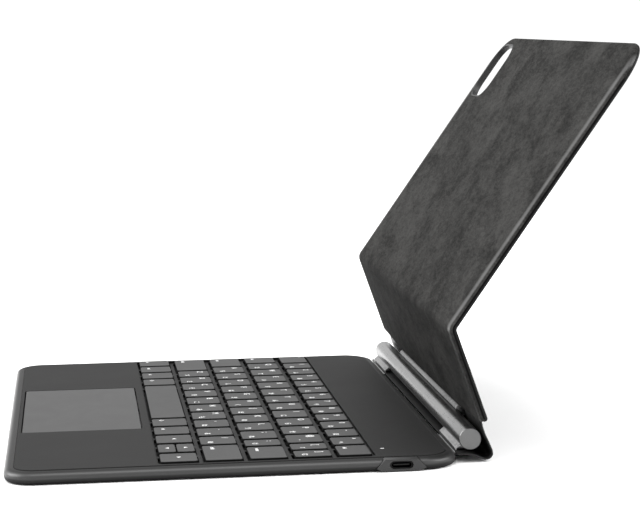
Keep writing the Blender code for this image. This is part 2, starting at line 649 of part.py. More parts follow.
def build_spine(mats):
    """Flexible skin across the full width, which swells over the bracket and slims at its sides."""
    at = Vector((BARREL.y, BARREL.z))
    half = SPINE_HALF_W
    right = [(BRACKET_HALF + 1.0, 1.0, 0.0), (BRACKET_HALF + 5.0, 0.5, 0.0), (BRACKET_HALF + 9.0, 0.0, 0.0)]
    right += [(half - 0.5, 0.0, 0.0), (half - 0.175, 0.0, 0.2), (half, 0.0, 0.55)]
    rings = []
    for x, share, slim in [(-x, share, slim) for x, share, slim in reversed(right)] + right:
        outer, inner = spine_paths(share)
        middle = [(a + b) / 2 for a, b in zip(outer, inner)]
        ring = [p.lerp(m, slim) for p, m in zip(outer, middle)]
        ring += [p.lerp(m, slim) for p, m in reversed(list(zip(inner, middle)))]
        rings.append([Vector((x, at.x + p.x, at.y + p.y)) for p in ring])
    spine = add_object("spine_strip", loft(rings), mats["spine"], BARREL)
    low, high = BARREL.z - 9.0, BARREL.z - 3.0
    front, rear = BARREL.y - BARREL_REAR - 1.0, BARREL.y - BARREL_REAR + 1.6 + GAP
    notches = box(-KNUCKLE_OUT - GAP, -KNUCKLE_IN, front, rear, low, high)
    merge(notches, box(KNUCKLE_IN, KNUCKLE_OUT + GAP, front, rear, low, high))
    boolean(spine, notches)


# ---------------------------------------------------------------- lid
def build_lower_panel(mats):
    face, back = -FACE_OFFSET, -FACE_OFFSET - LID_T
    y0, y1 = 8.0, LOWER_LEN - FOLD_HALF - GAP
    bm = slab(LID_HALF, y0, y1, 2.0, 0.8, panel_profile(back, face), 4)
    board = add_object("lower_board", place(bm, BARREL, LOWER_DIR), mats["skin"], BARREL)
    floor = face - LINING_T - GAP
    pocket = slab(LID_HALF - LID_EDGE, y0 + LID_EDGE, y1 + 6, 1.2, 1.2, [(0, floor), (0, face + 3)], 3)
    boolean(board, place(pocket, BARREL, LOWER_DIR))
    half = BRACKET_HALF + GAP
    rebate = box(-half, half, y0 - 3, LEAF_LEN + GAP, -LEAF_BACK - GAP, face + 3)
    boolean(board, place(rebate, BARREL, LOWER_DIR))
    inset = LID_EDGE + GAP
    lining = slab(LID_HALF - inset, y0 + inset, y1, 1.0, 0.4,
                  [(0, face - LINING_T), (0, face - 0.2), (0.2, face)], 3)
    lining = add_object("lower_lining", place(lining, BARREL, LOWER_DIR), mats["lining"], BARREL)
    tab = slab(BRACKET_HALF, LINING_FOOT, y0 + inset + 2.0, 0.6, 0.1,
               [(0, face - LINING_T), (0, face - 0.2), (0.2, face)], 3)
    boolean(lining, place(tab, BARREL, LOWER_DIR), "UNION")


def camera_prism(grow, z0, z1):
    mid_x = -LID_HALF + CAM_FROM_SIDE
    mid_y = UPPER_LEN - CAM_FROM_TOP
    half = CAM_HALF + grow
    radius = CAM_CORNER_R + grow
    return slab(half, mid_y - half, mid_y + half, radius, radius, [(0, z0), (0, z1)], 6, mid_x)


def build_upper_panel(mats):
    face, back = LID_T / 2, -LID_T / 2
    y0, y1 = FOLD_HALF + GAP, UPPER_LEN
    bm = slab(LID_HALF, y0, y1, 0.8, LID_CORNER_R, panel_profile(back, face), 8)
    board = add_object("upper_board", place(bm, CREASE, UPPER_DIR), mats["skin"], CREASE)
    floor = face - LINING_T - GAP
    pocket = slab(LID_HALF - LID_EDGE, y0 - 6, y1 - LID_EDGE, 1.2, LID_CORNER_R - LID_EDGE,
                  [(0, floor), (0, face + 3)], 8)
    boolean(board, place(pocket, CREASE, UPPER_DIR))
    boolean(board, place(camera_prism(CAM_WALL + GAP, back - 3, face + 3), CREASE, UPPER_DIR))

    carrier_z = floor - CARRIER_T - 0.2
    half, band = LID_HALF - CARRIER_INSET, CARRIER_BAND
    low, high = y0 + CARRIER_FOOT, y1 - CAM_FROM_TOP - CAM_HALF - CARRIER_TOP
    slot = slab(half + GAP, low - GAP, high + GAP, 5.0, 5.0, [(0, carrier_z), (0, face)], 3)
    boolean(board, place(slot, CREASE, UPPER_DIR))
    carrier = slab(half, low, high, 5.0, 5.0, [(0, carrier_z + 0.1), (0, carrier_z + 0.1 + CARRIER_T)], 3)
    carrier = add_object("magnet_carrier", place(carrier, CREASE, UPPER_DIR), mats["steel"], CREASE)
    window = slab(half - band, low + band * 0.8, high - band * 0.8, 4.0, 4.0,
                  [(0, carrier_z - 2), (0, face)], 3)
    boolean(carrier, place(window, CREASE, UPPER_DIR))

    inset = LID_EDGE + GAP
    lining = slab(LID_HALF - inset, y0, y1 - inset, 0.4, LID_CORNER_R - inset,
                  [(0, face - LINING_T), (0, face - 0.2), (0.2, face)], 8)
    lining = add_object("upper_lining", place(lining, CREASE, UPPER_DIR), mats["lining"], CREASE)
    boolean(lining, place(camera_prism(CAM_WALL + GAP, back - 3, face + 3), CREASE, UPPER_DIR))

    trim = camera_prism(CAM_WALL, back, face)
    trim = add_object("camera_trim", place(trim, CREASE, UPPER_DIR), mats["skin"], CREASE)
    boolean(trim, place(camera_prism(0.0, back - 3, face + 3), CREASE, UPPER_DIR))


def build_fold(mats):
    """Bent band that joins the two panels, tangent to both of them."""
    bend = math.radians(LOWER_ANGLE - UPPER_ANGLE)
    radius = FOLD_HALF / math.tan(bend / 2)
    start = CREASE - LOWER_DIR * FOLD_HALF
    centre = start - LOWER_NORMAL * radius
    steps = 8
    front, rear, middle = [], [], []
    for k in range(steps + 1):
        turn = math.radians(LOWER_ANGLE) - bend * k / steps
        normal = Vector((0, -math.sin(turn), math.cos(turn)))
        front.append(centre + normal * (radius + LID_T / 2))
        rear.append(centre + normal * (radius - LID_T / 2))
        middle.append(centre + normal * radius)
    points = [(p.y, p.z) for p in front] + [(p.y, p.z) for p in reversed(rear)]
    mid = [(p.y, p.z) for p in middle] + [(p.y, p.z) for p in reversed(middle)]
    bm = extrude_x(points, -LID_HALF, LID_HALF, 1.0, mid)
    add_object("fold_strip", bm, mats["skin"], CREASE)


# ---------------------------------------------------------------- build
def shade_all():
    """Shade round faces smooth and keep real edges crisp."""
    for obj in bpy.context.scene.objects:
        obj.data.shade_smooth()
        obj.data.set_sharp_from_angle(angle=math.radians(32))


def main():
    clear_scene()
    mats = make_materials()
    build_base_shell(mats)
    build_port(mats)
    build_deck(mats)
    build_base_inside(mats)
    build_trackpad(mats)
    build_keys(mats)
    build_hinge(mats)
    build_barrel_tube(mats)
    build_bracket(mats)
    build_spine(mats)
    build_lower_panel(mats)
    build_upper_panel(mats)
    build_fold(mats)
    shade_all()
    bpy.context.view_layer.update()


main()
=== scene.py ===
"""Tablet keyboard case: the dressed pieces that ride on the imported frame.

Lengths in this file are millimetres unless a name ends in _M; the frame is in metres.
+X is the user's right, +Y the rear and +Z up. The lid stands open, as in use.
"""
import logging
import math
from dataclasses import dataclass, field
from enum import Enum
from typing import Callable, Iterable, Sequence

import bmesh
import bpy
from mathutils import Matrix, Vector


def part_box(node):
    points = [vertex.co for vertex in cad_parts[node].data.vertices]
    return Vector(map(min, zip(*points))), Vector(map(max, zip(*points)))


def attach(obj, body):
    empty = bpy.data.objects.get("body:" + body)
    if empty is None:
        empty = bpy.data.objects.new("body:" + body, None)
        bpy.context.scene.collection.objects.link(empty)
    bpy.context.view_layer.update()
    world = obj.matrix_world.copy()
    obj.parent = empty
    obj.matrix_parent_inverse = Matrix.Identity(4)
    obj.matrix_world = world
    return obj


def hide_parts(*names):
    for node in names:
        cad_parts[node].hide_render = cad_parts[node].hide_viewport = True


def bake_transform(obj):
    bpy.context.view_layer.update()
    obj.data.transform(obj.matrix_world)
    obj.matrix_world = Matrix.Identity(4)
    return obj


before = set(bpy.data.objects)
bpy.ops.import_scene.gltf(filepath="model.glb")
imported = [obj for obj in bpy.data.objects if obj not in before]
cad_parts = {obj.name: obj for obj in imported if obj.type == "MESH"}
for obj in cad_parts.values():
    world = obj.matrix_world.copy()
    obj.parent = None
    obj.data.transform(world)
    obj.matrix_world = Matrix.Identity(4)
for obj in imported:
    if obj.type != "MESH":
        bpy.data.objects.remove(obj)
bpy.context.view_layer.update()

MM = 0.001
PLACE = "rest_place"
FLAT_FACE_AREA = 30.0
LOG = logging.getLogger("tablet_keyboard_case")

Pair = tuple[float, float]
Profile = list[Pair]


def heading(degrees: float) -> Vector:
    """Unit vector in the side view, at an angle above the rear horizontal."""
    turn = math.radians(degrees)
    return Vector((0, math.cos(turn), math.sin(turn)))


def across(direction: Vector) -> Vector:
    """Turn a side-view direction a quarter turn, towards a lid panel's inner face."""
    return Vector((1, 0, 0)).cross(direction)


def arc(start: float, sweep: float, steps: int) -> list[Pair]:
    """Cosines and sines at even steps along an arc, in degrees."""
    turns = [math.radians(start + sweep * k / steps) for k in range(steps + 1)]
    return [(math.cos(turn), math.sin(turn)) for turn in turns]


# ------------------------------------------------------------------------------ sizes
@dataclass(frozen=True)
class CaseSizes:
    """The case's own sizes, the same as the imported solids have."""

    base_w: float = 245.0
    base_d: float = 179.9
    base_h: float = 5.2
    front_corner_r: float = 12.0
    rear_corner_r: float = 15.0
    rim_w: float = 4.0
    floor_t: float = 0.9
    deck_t: float = 0.9
    key_proud: float = 0.6
    key_cap_t: float = 1.3
    key_travel: float = 1.0
    key_gap: float = 2.75
    row_gap: float = 3.05
    key_corner_r: float = 1.3
    front_to_keys: float = 61.2
    number_row_share: float = 0.885
    pad_w: float = 94.6
    pad_d: float = 50.3
    pad_front: float = 5.9
    pad_t: float = 1.2
    lid_w: float = 247.0
    lid_t: float = 2.9
    lid_corner_r: float = 18.0
    lower_len: float = 48.0
    upper_len: float = 135.0
    lower_angle: float = 109.2
    upper_angle: float = 54.8
    fold_half: float = 1.6
    barrel_r: float = 4.55
    barrel_len: float = 218.0
    barrel_rear: float = 6.2
    barrel_rise: float = 3.6
    cam_half: float = 14.9
    cam_corner_r: float = 9.0
    cam_from_side: float = 20.5
    cam_from_top: float = 20.2
    cam_wall: float = 0.6
    spine_half_w: float = 112.0
    port_len: float = 20.0
    port_head: float = 13.3
    port_heel: float = 16.0
    port_knee: float = 1.3
    port_proud: float = 0.8
    port_from_keys: float = 10.5
    lamp_inset: float = 11.9
    lamp_from_keys: float = 5.8
    tongue_reach: float = 12.0
    leaf_len: float = 17.5
    leaf_t: float = 0.8
    lining_t: float = 0.6
    lining_foot: float = 5.2
    lip_turn: float = 50.0
    key_margin: float = 3.1
    key_hole_edge: float = 1.3
    ledge_w: float = 1.0
    gap: float = 0.3
    front_y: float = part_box("base_shell")[0].y / MM
    # Worked out from the sizes above.
    half_w: float = base_w / 2
    rear_y: float = front_y + base_d
    rim_inner: float = half_w - rim_w
    slot_z: float = (floor_t + base_h - deck_t) / 2
    slot_half: float = (base_h - deck_t - floor_t) / 2 - 0.2
    face_offset: float = barrel_r + 0.1
    leaf_front: float = face_offset + lining_t + 2 * gap
    leaf_back: float = leaf_front + leaf_t
    knuckle_in: float = barrel_len / 2 * 0.66
    knuckle_out: float = barrel_len / 2 - 3.0
    saddle_half: float = knuckle_in - 1.0
    key_top: float = base_h + key_proud
    key_bottom: float = key_top - key_cap_t
    bed_top: float = key_bottom - key_travel - 0.8
    key_block_half: float = rim_inner - key_margin
    unit: float = 2 * key_block_half / 13.40
    row_pitch: float = 1.03 * unit
    key_depth: float = row_pitch - row_gap
    keys_y: float = front_y + front_to_keys
    keys_rear_y: float = keys_y + 4 * row_pitch + key_depth * number_row_share
    port_y: float = keys_rear_y + port_from_keys
    crease_s: float = lower_len
    top_s: float = lower_len + upper_len

    @property
    def barrel(self) -> Vector:
        """A point on the barrel's axis."""
        return Vector((0, self.rear_y + self.barrel_rear, self.base_h + self.barrel_rise))

    @property
    def lower(self) -> Vector:
        """Direction of the lower panel, away from the barrel."""
        return heading(self.lower_angle)

    @property
    def upper(self) -> Vector:
        """Direction of the upper panel, away from the crease."""
        return heading(self.upper_angle)

    @property
    def crease(self) -> Vector:
        """A point on the crease line, at the middle of the lid's thickness."""
        return self.barrel + self.lower * self.lower_len - across(self.lower) * (self.face_offset + self.lid_t / 2)


SIZES = CaseSizes()


# ------------------------------------------------------------------------------ shader maths
class Wire:
    """One output of a shader node, so that plain arithmetic on it adds Math nodes."""

    def __init__(self, graph: "Graph", socket: bpy.types.NodeSocket) -> None:
        """Keep the graph and the node's output socket."""
        self.graph = graph
        self.socket = socket

    def _math(self, operation: str, first: "Number", second: "Number") -> "Wire":
        """Add one Math node.

        Args:
            operation: Name of the Math node's operation.
            first: First operand.
            second: Second operand.

        Returns:
            The node's result.
        """
        return self.graph.add("ShaderNodeMath", {"operation": operation}, {0: first, 1: second})

    def __add__(self, other: "Number") -> "Wire":
        """Sum."""
        return self._math("ADD", self, other)

    def __radd__(self, other: "Number") -> "Wire":
        """Sum, reflected."""
        return self._math("ADD", other, self)

    def __sub__(self, other: "Number") -> "Wire":
        """Difference."""
        return self._math("SUBTRACT", self, other)

    def __rsub__(self, other: "Number") -> "Wire":
        """Difference, reflected."""
        return self._math("SUBTRACT", other, self)

    def __mul__(self, other: "Number") -> "Wire":
        """Product."""
        return self._math("MULTIPLY", self, other)

    def __rmul__(self, other: "Number") -> "Wire":
        """Product, reflected."""
        return self._math("MULTIPLY", other, self)

    def above(self, low: float, high: float) -> "Wire":
        """Smooth mask that rises from 0 at low to 1 at high.

        Args:
            low: Value where the mask starts.
            high: Value where the mask is full.

        Returns:
            The mask.
        """
        settings = {"interpolation_type": "SMOOTHSTEP"}
        return self.graph.add("ShaderNodeMapRange", settings, {"Value": self, "From Min": low, "From Max": high})


Number = Wire | float


def shade(level: float, warmth: float = 0.0) -> tuple[float, float, float, float]:
    """Linear colour of one 0-255 display grey.

    Args:
        level: Display value of the grey.
        warmth: Share by which blue drops below red.

    Returns:
        Red, green, blue and alpha.
    """
    share = level / 255
    linear = share / 12.92 if share <= 0.04045 else ((share + 0.055) / 1.055) ** 2.4
    return (linear * (1 + warmth / 2), linear, linear * (1 - warmth), 1.0)


class Graph:
    """The node tree of one material, with its shader ready to be fed."""

    def __init__(self, name: str) -> None:
        """Make an empty material that ends in a Principled shader.

        Args:
            name: The material's name.
        """
        self.material = bpy.data.materials.new(name)
        self.material.use_nodes = True
        self.tree = self.material.node_tree
        self.shader = self.tree.nodes["Principled BSDF"]

    def add(self, kind: str, settings: dict | None = None, sockets: dict | None = None,
            output: int | str = 0) -> Wire:
        """Add any node.

        Args:
            kind: Blender's name of the node type.
            settings: Properties that are set first.
            sockets: Values or wires by input name or number.
            output: Name or number of the output to return.

        Returns:
            The chosen output.
        """
        node = self.tree.nodes.new(kind)
        for name, value in (settings or {}).items():
            setattr(node, name, value)
        for key, value in (sockets or {}).items():
            self._feed(node.inputs[key], value)
        return Wire(self, node.outputs[output])

    def _feed(self, socket: bpy.types.NodeSocket, value: object) -> None:
        """Link a wire to an input, or set the input's own value.

        Args:
            socket: The input.
            value: A wire or a plain value.
        """
        if isinstance(value, Wire):
            self.tree.links.new(value.socket, socket)
        else:
            socket.default_value = value

    def surface(self, **sockets: object) -> None:
        """Feed the shader; underscores in the names stand for spaces."""
        for name, value in sockets.items():
            self._feed(self.shader.inputs[name.replace("_", " ")], value)

    def place(self, carried: bool = False) -> Wire:
        """Where a point lies at rest, in millimetres.

        Args:
            carried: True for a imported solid, which has no stored place.

        Returns:
            A vector wire.
        """
        if carried:
            here = self.add("ShaderNodeTexCoord", output="Object")
            return self.stretch(here, (1000, 1000, 1000))
        return self.add("ShaderNodeAttribute", {"attribute_name": PLACE}, output="Vector")

    def stretch(self, vector: Wire, scale: tuple[float, float, float]) -> Wire:
        """Multiply a vector's components."""
        return self.add("ShaderNodeVectorMath", {"operation": "MULTIPLY"}, {0: vector, 1: scale})

    def part(self, vector: Wire, axis: str) -> Wire:
        """One component of a vector, by its letter."""
        return self.add("ShaderNodeSeparateXYZ", {}, {"Vector": vector}, axis)

    def noise(self, vector: Wire, scale: float, detail: float = 2.0, rough: float = 0.5,
              twist: float = 0.0) -> Wire:
        """Soft random value round 0.5.

        Args:
            vector: Where to look it up.
            scale: Features per unit of the vector.
            detail: Octaves.
            rough: Weight of the finer octaves.
            twist: Distortion.

        Returns:
            The value.
        """
        sockets = {"Vector": vector, "Scale": scale, "Detail": detail, "Roughness": rough, "Distortion": twist}
        return self.add("ShaderNodeTexNoise", {}, sockets, "Fac")

    def cells(self, vector: Wire, scale: float) -> Wire:
        """Distance to the nearest of scattered points, as in pebbled grain."""
        settings = {"feature": "SMOOTH_F1"}
        return self.add("ShaderNodeTexVoronoi", settings, {"Vector": vector, "Scale": scale, "Smoothness": 0.6})

    def tint(self, factor: Wire, low: tuple, high: tuple) -> Wire:
        """Colour between two others."""
        return self.add("ShaderNodeMix", {"data_type": "RGBA"}, {0: factor, 6: low, 7: high}, 2)

    def grey(self, factor: Wire, level: float, spread: float, warmth: float = 0.0) -> Wire:
        """Grey that swings by a share of its level."""
        return self.tint(factor, shade(level * (1 - spread), warmth), shade(level * (1 + spread), warmth))

    def relief(self, height: Wire, strength: float, depth: float) -> Wire:
        """Bump normal.

        Args:
            height: Height pattern.
            strength: Share of the bump that is used.
            depth: Height of the pattern's full range.

        Returns:
            The normal.
        """
        return self.add("ShaderNodeBump", {}, {"Strength": strength, "Distance": depth * MM, "Height": height})


# ------------------------------------------------------------------------------ finishes
@dataclass(frozen=True)
class Finish:
    """A surface finish; each kind builds its material once."""

    name: str
    carried: bool = False

    def build(self, graph: Graph, place: Wire) -> None:
        """Feed the shader from the place at rest, in millimetres."""
        raise NotImplementedError

    def material(self) -> bpy.types.Material:
        """Return the finish's material, made on first use.

        Returns:
            The material.
        """
        found = bpy.data.materials.get(self.name)
        if found is None:
            graph = Graph(self.name)
            self.build(graph, graph.place(self.carried))
            found = graph.material
        return found


@dataclass(frozen=True)
class SoftTouch(Finish):
    """Matt soft-touch coating with a fine pebbled grain and faint handling marks."""

    level: float = 50.0
    grain: float = 2.4
    roughness: float = 0.56
    gloss: float = 0.2
    warmth: float = 0.01

    def build(self, graph: Graph, place: Wire) -> None:
        """Clouded grey, pebbled bump and uneven roughness.

        Args:
            graph: The material's nodes.
            place: The rest place, in millimetres.
        """
        cloud = graph.noise(place, 0.022, 3.0, 0.55, 0.4)
        grain = graph.cells(place, self.grain)
        speck = graph.noise(place, self.grain * 2.7, 2.0)
        mix = (0.5 * cloud + 0.22 * speck + 0.28 * grain).above(0.2, 0.8)
        graph.surface(
            Base_Color=self.tone(graph, place, graph.grey(mix, self.level, 0.1, self.warmth)),
            Roughness=self.roughness - 0.05 + 0.12 * cloud,
            Normal=graph.relief(grain * 0.7 + speck * 0.3, 0.35, 0.03),
            Specular_IOR_Level=self.gloss,
        )

    def tone(self, graph: Graph, place: Wire, grey: Wire) -> Wire:
        """Colour of the coating, from its clouded grey."""
        return grey


@dataclass(frozen=True)
class RolledRim(SoftTouch):
    """Soft-touch rim with painted shade along its underside, polished where its crown turns down."""

    # Heights over which the painted shade on the underside fades out.
    underside_shade: Pair = (0.34, 2.04)
    shine_from: Pair = (1.6, 3.0)
    shine_to: Pair = (3.7, 4.8)

    def tone(self, graph: Graph, place: Wire, grey: Wire) -> Wire:
        """Paint shade on the underside: low on the rim the grey is darkened to a tenth."""
        # Painted shade: below these heights the rim is darkened to a tenth of its grey.
        return graph.tint(graph.part(place, "Z").above(*self.underside_shade), shade(self.level * 0.1), grey)

    def build(self, graph: Graph, place: Wire) -> None:
        """Add the band of shine.

        Args:
            graph: The material's nodes.
            place: The rest place, in millimetres.
        """
        super().build(graph, place)
        height = graph.part(place, "Z")
        shine = height.above(*self.shine_from) * (1.0 - height.above(*self.shine_to))
        graph.surface(Coat_Weight=shine, Coat_Roughness=0.4)


@dataclass(frozen=True)
class GrainedLining(Finish):
    """Matt grained skin: soft blotches, short rubbed streaks and a fine nap.

    The skin is pulled tight round the long edges, where it is polished. The lower panel is painted darker as shade,
    and the outer side walls and the top edge are painted near-black as shade.
    """

    level: float = 40.5
    spread: float = 0.4
    warmth: float = 0.035
    edge: float = SIZES.lid_w / 2
    head: float = SIZES.upper_len

    def build(self, graph: Graph, place: Wire) -> None:
        """The place is unrolled across the crease, so that the pattern runs on.

        Args:
            graph: The material's nodes.
            place: The rest place, in millimetres.
        """
        bent = graph.add("ShaderNodeVectorRotate", {"rotation_type": "Z_AXIS"}, {"Vector": place, "Angle": 0.25})
        blotch = graph.noise(graph.stretch(bent, (0.022, 0.04, 0.05)), 1.0, 3.0, 0.55, 0.8)
        streak = graph.noise(graph.stretch(bent, (0.07, 0.1, 0.1)), 1.0, 4.0, 0.6, 1.2)
        crumb = graph.noise(graph.stretch(place, (0.24, 0.55, 0.5)), 1.0, 4.0, 0.75, 0.4)
        nap = graph.noise(graph.stretch(place, (0.7, 1.3, 1.2)), 1.0, 3.0, 0.75)
        mix = (0.28 * blotch + 0.18 * streak + 0.28 * crumb + 0.26 * nap).above(0.38, 0.62)
        along = graph.part(place, "Y")
        # Painted shade: the lower panel, below the crease, is darkened to about a third of the grey.
        lower_panel_shade = graph.tint(mix, shade(self.level * 0.34, self.warmth), shade(self.level * 1.1, self.warmth))
        skin = graph.tint(along.above(-3.0, 1.5), lower_panel_shade, graph.grey(mix, self.level, self.spread, self.warmth))
        far = graph.add("ShaderNodeMath", {"operation": "ABSOLUTE"}, {0: graph.part(place, "X")})
        # Painted shade: the outermost side walls and the top edge of the skin are painted near-black.
        side, top = far.above(self.edge - 0.35, self.edge - 0.1), along.above(self.head - 0.7, self.head - 0.2)
        wall = graph.add("ShaderNodeMath", {"operation": "MAXIMUM"}, {0: side, 1: top})
        band = far.above(self.edge - 6.5, self.edge - 2.6) * (1.0 - far.above(self.edge - 2.2, self.edge - 0.9))
        polish = band * (1.0 - wall)
        graph.surface(
            Base_Color=graph.tint(wall, skin, shade(12)),
            Roughness=0.84 + 0.12 * nap - 0.2 * polish,
            Normal=graph.relief(0.5 * nap + 0.35 * crumb + 0.15 * streak, 0.7, 0.2),
            Specular_IOR_Level=0.05,
            Coat_Weight=0.9 * polish,
            Coat_Roughness=0.42,
        )


@dataclass(frozen=True)
class MouldedPlastic(Finish):
    """Fine spark-eroded plastic."""

    level: float = 110.0
    roughness: float = 0.5
    gloss: float = 0.3

    def build(self, graph: Graph, place: Wire) -> None:
        """Even colour with faint wear clouds and a fine texture.

        Args:
            graph: The material's nodes.
            place: The rest place, in millimetres.
        """
        cloud, grain = graph.noise(place, 0.09, 3.0, 0.6), graph.noise(place, 7.0, 2.0)
        graph.surface(
            Base_Color=graph.grey((0.65 * cloud + 0.35 * grain).above(0.3, 0.7), self.level, 0.07),
            Roughness=self.roughness - 0.06 + 0.12 * grain,
            Normal=graph.relief(grain, 0.25, 0.015),
            Specular_IOR_Level=self.gloss,
        )


@dataclass(frozen=True)
class SatinMetal(Finish):
    """Blasted and lathe-turned metal with fine lines along or round the barrel."""

    level: float = 150.0
    roughness: float = 0.3
    stretch: tuple[float, float, float] = (0.04, 3.0, 3.0)
    mottle: float = 0.12

    def build(self, graph: Graph, place: Wire) -> None:
        """Drawn lines, mottled roughness and a fine blasted bump.

        Args:
            graph: The material's nodes.
            place: The rest place, in millimetres.
        """
        lines = graph.noise(graph.stretch(place, self.stretch), 1.0, 4.0, 0.6)
        blast, mottle = graph.noise(place, 6.0, 2.0), graph.noise(place, 0.35, 3.0, 0.6)
        mix = (0.5 * lines + 0.3 * mottle + 0.2 * blast).above(0.3, 0.7)
        graph.surface(
            Base_Color=graph.grey(mix, self.level, self.mottle),
            Metallic=1.0,
            Roughness=self.roughness - 0.08 + 0.1 * lines + 0.08 * mottle,
            Normal=graph.relief(0.6 * lines + 0.4 * blast, 0.3, 0.01),
        )


@dataclass(frozen=True)
class TrackpadGlass(Finish):
    """Etched glass plate with a faint clear coat."""

    level: float = 41.0

    def build(self, graph: Graph, place: Wire) -> None:
        """Even grey, slightly uneven gloss from handling.

        Args:
            graph: The material's nodes.
            place: The rest place, in millimetres.
        """
        smear = graph.noise(graph.stretch(place, (0.03, 0.06, 0.05)), 1.0, 4.0, 0.6, 0.7)
        etch = graph.noise(place, 9.0, 1.0)
        graph.surface(
            Base_Color=graph.grey((0.8 * smear + 0.2 * etch).above(0.25, 0.75), self.level, 0.03),
            Roughness=0.4 + 0.12 * smear,
            Coat_Weight=0.02 + 0.04 * smear,
            Coat_Roughness=0.3,
            Normal=graph.relief(etch, 0.15, 0.006),
            Specular_IOR_Level=0.25,
        )


@dataclass(frozen=True)
class PrintedInk(Finish):
    """Printed or laser-cut legend."""

    level: float = 228.0

    def build(self, graph: Graph, place: Wire) -> None:
        """Off-white with slightly uneven cover.

        Args:
            graph: The material's nodes.
            place: The rest place, in millimetres.
        """
        cover = graph.noise(place, 4.0, 2.0).above(0.2, 0.6)
        graph.surface(Base_Color=graph.tint(cover, shade(self.level * 0.88), shade(self.level)),
                      Roughness=0.55 + 0.05 * cover)


@dataclass(frozen=True)
class CircuitBoard(Finish):
    """Lacquered board with traces under the lacquer."""

    def build(self, graph: Graph, place: Wire) -> None:
        """Green lacquer over a pattern of tracks.

        Args:
            graph: The material's nodes.
            place: The rest place, in millimetres.
        """
        sockets = {"Vector": place, "Scale": 1.4, "Distortion": 3.0}
        track = graph.add("ShaderNodeTexWave", {"wave_type": "BANDS"}, sockets, "Fac")
        colour = graph.tint(track.above(0.7, 0.8), (0.012, 0.05, 0.03, 1), (0.03, 0.11, 0.06, 1))
        graph.surface(Base_Color=colour, Roughness=0.35 + 0.1 * track, Coat_Weight=0.3)


DECK = SoftTouch("deck_soft_touch", level=31, grain=2.6, roughness=0.62, gloss=0.1)
SHELL = RolledRim("shell_soft_touch", level=31, grain=2.2, roughness=0.5, gloss=0.14)
PORT_PLASTIC = MouldedPlastic("port_plastic", level=34, roughness=0.42, gloss=0.4)
TRAY = MouldedPlastic("tray_plastic", level=34, roughness=0.62, gloss=0.15)
KEY = MouldedPlastic("key_plastic", level=47, roughness=0.5, gloss=0.25)
# Painted shade: near-black for the key skirts and rounded cap edges, the tray's pockets and the trackpad's sides.
GAP_SHADE = MouldedPlastic("key_gap_shade", level=8, roughness=0.6, gloss=0.08)
INK = PrintedInk("key_legend", level=228)
LAMP = PrintedInk("status_lamp", level=252)
PAD = TrackpadGlass("trackpad_glass")
BARREL_METAL = SatinMetal("barrel_metal", level=128, roughness=0.28)
# The end face's grey, lower than the barrel's, is painted shade; its turned lines are its own finish.
BARREL_END_SHADED = SatinMetal("barrel_end_metal", level=100, roughness=0.4, stretch=(1, 2.4, 2.4), mottle=0.05)
BRACKET_METAL = SatinMetal("bracket_metal", level=130, roughness=0.3, stretch=(0.3, 1.2, 1.2), mottle=0.2)
SADDLE_METAL = SatinMetal("saddle_metal", level=98, roughness=0.36, stretch=(1.6, 0.5, 0.5), mottle=0.3)
SOCKET_METAL = SatinMetal("socket_metal", level=34, roughness=0.4, stretch=(1, 1, 1))
LINING = GrainedLining("lid_lining_skin")
# The cover's near-black grey is partly its own dark colour and partly painted shade on the lid's side walls.
COVER = SoftTouch("lid_cover", level=18, grain=1.9, roughness=0.5, gloss=0.12, warmth=0.0)
TRIM = MouldedPlastic("camera_trim", level=26, roughness=0.42, gloss=0.3)
SPINE = SoftTouch("spine_rubber", level=12, grain=3.0, roughness=0.45, gloss=0.25, warmth=0.0)
STEEL_CARRIED = SatinMetal("inner_steel", True, level=170, roughness=0.3, stretch=(0.2, 2.0, 2.0))
BOARD_CARRIED = CircuitBoard("circuit_board", True)
BLACK_CARRIED = MouldedPlastic("inner_plastic", True, level=24, roughness=0.6)


# ------------------------------------------------------------------------------ mesh making
def rounded_rect(half_x: float, y0: float, y1: float, front_r: float, rear_r: float, inset: float = 0.0,
                 steps: int = 14, mid_x: float = 0.0) -> Profile:
    """Counter-clockwise outline of a plate with rounded corners.

    Args:
        half_x: Half width.
        y0: Front edge.
        y1: Rear edge.
        front_r: Radius of the front corners.
        rear_r: Radius of the rear corners.
        inset: Distance by which the outline shrinks.
        steps: Facets in each corner.
        mid_x: Middle of the width.

    Returns:
        The outline's points.
    """
    points = []
    for side, rear, start in ((1, False, -90), (1, True, 0), (-1, True, 90), (-1, False, 180)):
        bend = max((rear_r if rear else front_r) - inset, 0.04)
        centre_x = mid_x + side * (half_x - inset - bend)
        centre_y = y1 - inset - bend if rear else y0 + inset + bend
        points += [(centre_x + bend * a, centre_y + bend * b) for a, b in arc(start, 90, steps)]
    return points


def quarter(inset0: float, z0: float, inset1: float, z1: float, steps: int = 6, out_first: bool = True) -> Profile:
    """Quarter ellipse between two (inset, height) pairs.

    Args:
        inset0: Inset at the start.
        z0: Height at the start.
        inset1: Inset at the end.
        z1: Height at the end.
        steps: Facets.
        out_first: True where the curve starts upright and ends level.

    Returns:
        Points from the start to the end.
    """
    shares = [(1 - a, b) if out_first else (b, 1 - a) for a, b in arc(0, 90, steps)]
    return [(inset0 + (inset1 - inset0) * a, z0 + (z1 - z0) * b) for a, b in shares]


